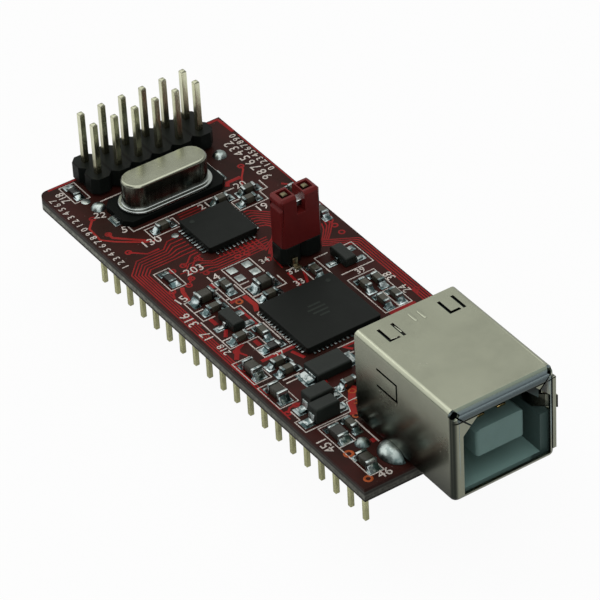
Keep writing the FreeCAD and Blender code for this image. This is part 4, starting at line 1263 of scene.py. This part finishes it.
def seen_share(tree, seen, mirrored):
    """How much of the plain white backdrop a ray meets: camera and glass rays most, mirrored ones in part."""
    ray = tree.nodes.new("ShaderNodeLightPath").outputs
    direct = plus(ray["Is Camera Ray"], ray["Is Transmission Ray"], clamp=True)
    return plus(times(direct, seen), times(ray["Is Glossy Ray"], mirrored), clamp=True)


def build_floor(s):
    """Pale floor that the camera sees as nearly white, with the object's shadow kept."""
    material = bpy.data.materials.new("pale_floor")
    material.use_nodes = True
    tree = material.node_tree
    shader, out = tree.nodes["Principled BSDF"], tree.nodes["Material Output"]
    place = tree.nodes.new("ShaderNodeTexCoord").outputs["Object"]
    shader.inputs["Roughness"].default_value = 0.8
    feed(shader.inputs["Base Color"], blend(noise(place, 14.0), s.floor, shade(s.floor, 0.985)))
    glow = tree.nodes.new("ShaderNodeEmission")
    glow.inputs["Strength"].default_value = 1.0
    mixer = tree.nodes.new("ShaderNodeMixShader")
    share = seen_share(tree, seen=0.95, mirrored=0.1)
    for socket, value in zip(mixer.inputs, (share, shader.outputs[0], glow.outputs[0])):
        feed(socket, value)
    feed(out.inputs["Surface"], mixer.outputs[0])
    return material


def build_lamp(name, place, target, size, power):
    obj = named(added(bpy.ops.object.light_add, type="AREA", location=place), name)
    obj.data.shape, obj.data.size, obj.data.energy = "SQUARE", size, power
    obj.rotation_euler = (Vector(target) - Vector(place)).to_track_quat("-Z", "Y").to_euler()


def build_world():
    """A pale room, darker towards the near side, lighter behind and over the object."""
    world = bpy.data.worlds.new("pale_room")
    bpy.context.scene.world = world
    world.use_nodes = True
    tree = world.node_tree
    back = tree.nodes["Background"]
    place = axes(tree.nodes.new("ShaderNodeTexCoord").outputs["Generated"])
    lean = plus(*(times(place[axis], share) for axis, share in zip("XYZ", ROOM_LEAN)))
    room = blend(ramp(lean, -0.1, 0.95), ROOM_DARK, ROOM_LIGHT)
    feed(back.inputs["Color"], blend(seen_share(tree, seen=1.0, mirrored=0.1), room, (1.0, 1.0, 1.0)))
    back.inputs["Strength"].default_value = 1.0


def build_camera():
    camera = named(added(bpy.ops.object.camera_add, location=(0, 0, 0)), "photo_camera")
    right, up = Vector(CAMERA_RIGHT), Vector(CAMERA_UP)
    turn = Matrix((right, up, right.cross(up))).transposed().to_4x4()
    camera.matrix_world = Matrix.Translation(Vector(CAMERA_PLACE)) @ turn
    camera.data.lens, camera.data.sensor_width = CAMERA_LENS, 36.0
    camera.data.clip_start, camera.data.clip_end = 0.01, 20.0
    bpy.context.scene.camera = camera


# -------- add-on

PIECES = (MODULE_OT_board, MODULE_OT_tracks, MODULE_OT_legend, MODULE_OT_pads, MODULE_OT_rows, MODULE_OT_header,
          MODULE_OT_crystal, MODULE_OT_chips, MODULE_OT_jumper, MODULE_OT_socket, MODULE_OT_solder,
          MODULE_OT_small_parts, MODULE_OT_stage)
SETTINGS = (("board_looks", BoardLooks), ("metal_looks", MetalLooks), ("moulded_looks", MouldedLooks),
            ("stage_looks", StageLooks))


class MODULE_PT_sidebar(bpy.types.Panel):
    """Lists the module's pieces and their sizes and colours"""
    bl_idname = "MODULE_PT_sidebar"
    bl_label = "Adapter module"
    bl_space_type, bl_region_type, bl_category = "VIEW_3D", "UI", "Adapter"

    def draw(self, context):
        for piece in PIECES:
            self.layout.operator(piece.bl_idname)
        for key, kind in SETTINGS:
            box = self.layout.box()
            for field in kind.__annotations__:
                box.prop(getattr(context.scene, key), field)


def register():
    for item in (*(kind for _, kind in SETTINGS), *PIECES, MODULE_PT_sidebar):
        bpy.utils.register_class(item)
    for key, kind in SETTINGS:
        setattr(bpy.types.Scene, key, bpy.props.PointerProperty(type=kind))


def unregister():
    for key, _ in SETTINGS:
        delattr(bpy.types.Scene, key)
    for item in (MODULE_PT_sidebar, *reversed(PIECES), *(kind for _, kind in SETTINGS)):
        bpy.utils.unregister_class(item)


def main():
    register()
    for piece in PIECES:
        section, _, action = piece.bl_idname.partition(".")
        getattr(getattr(bpy.ops, section), action)()


if __name__ == "__main__":
    main()
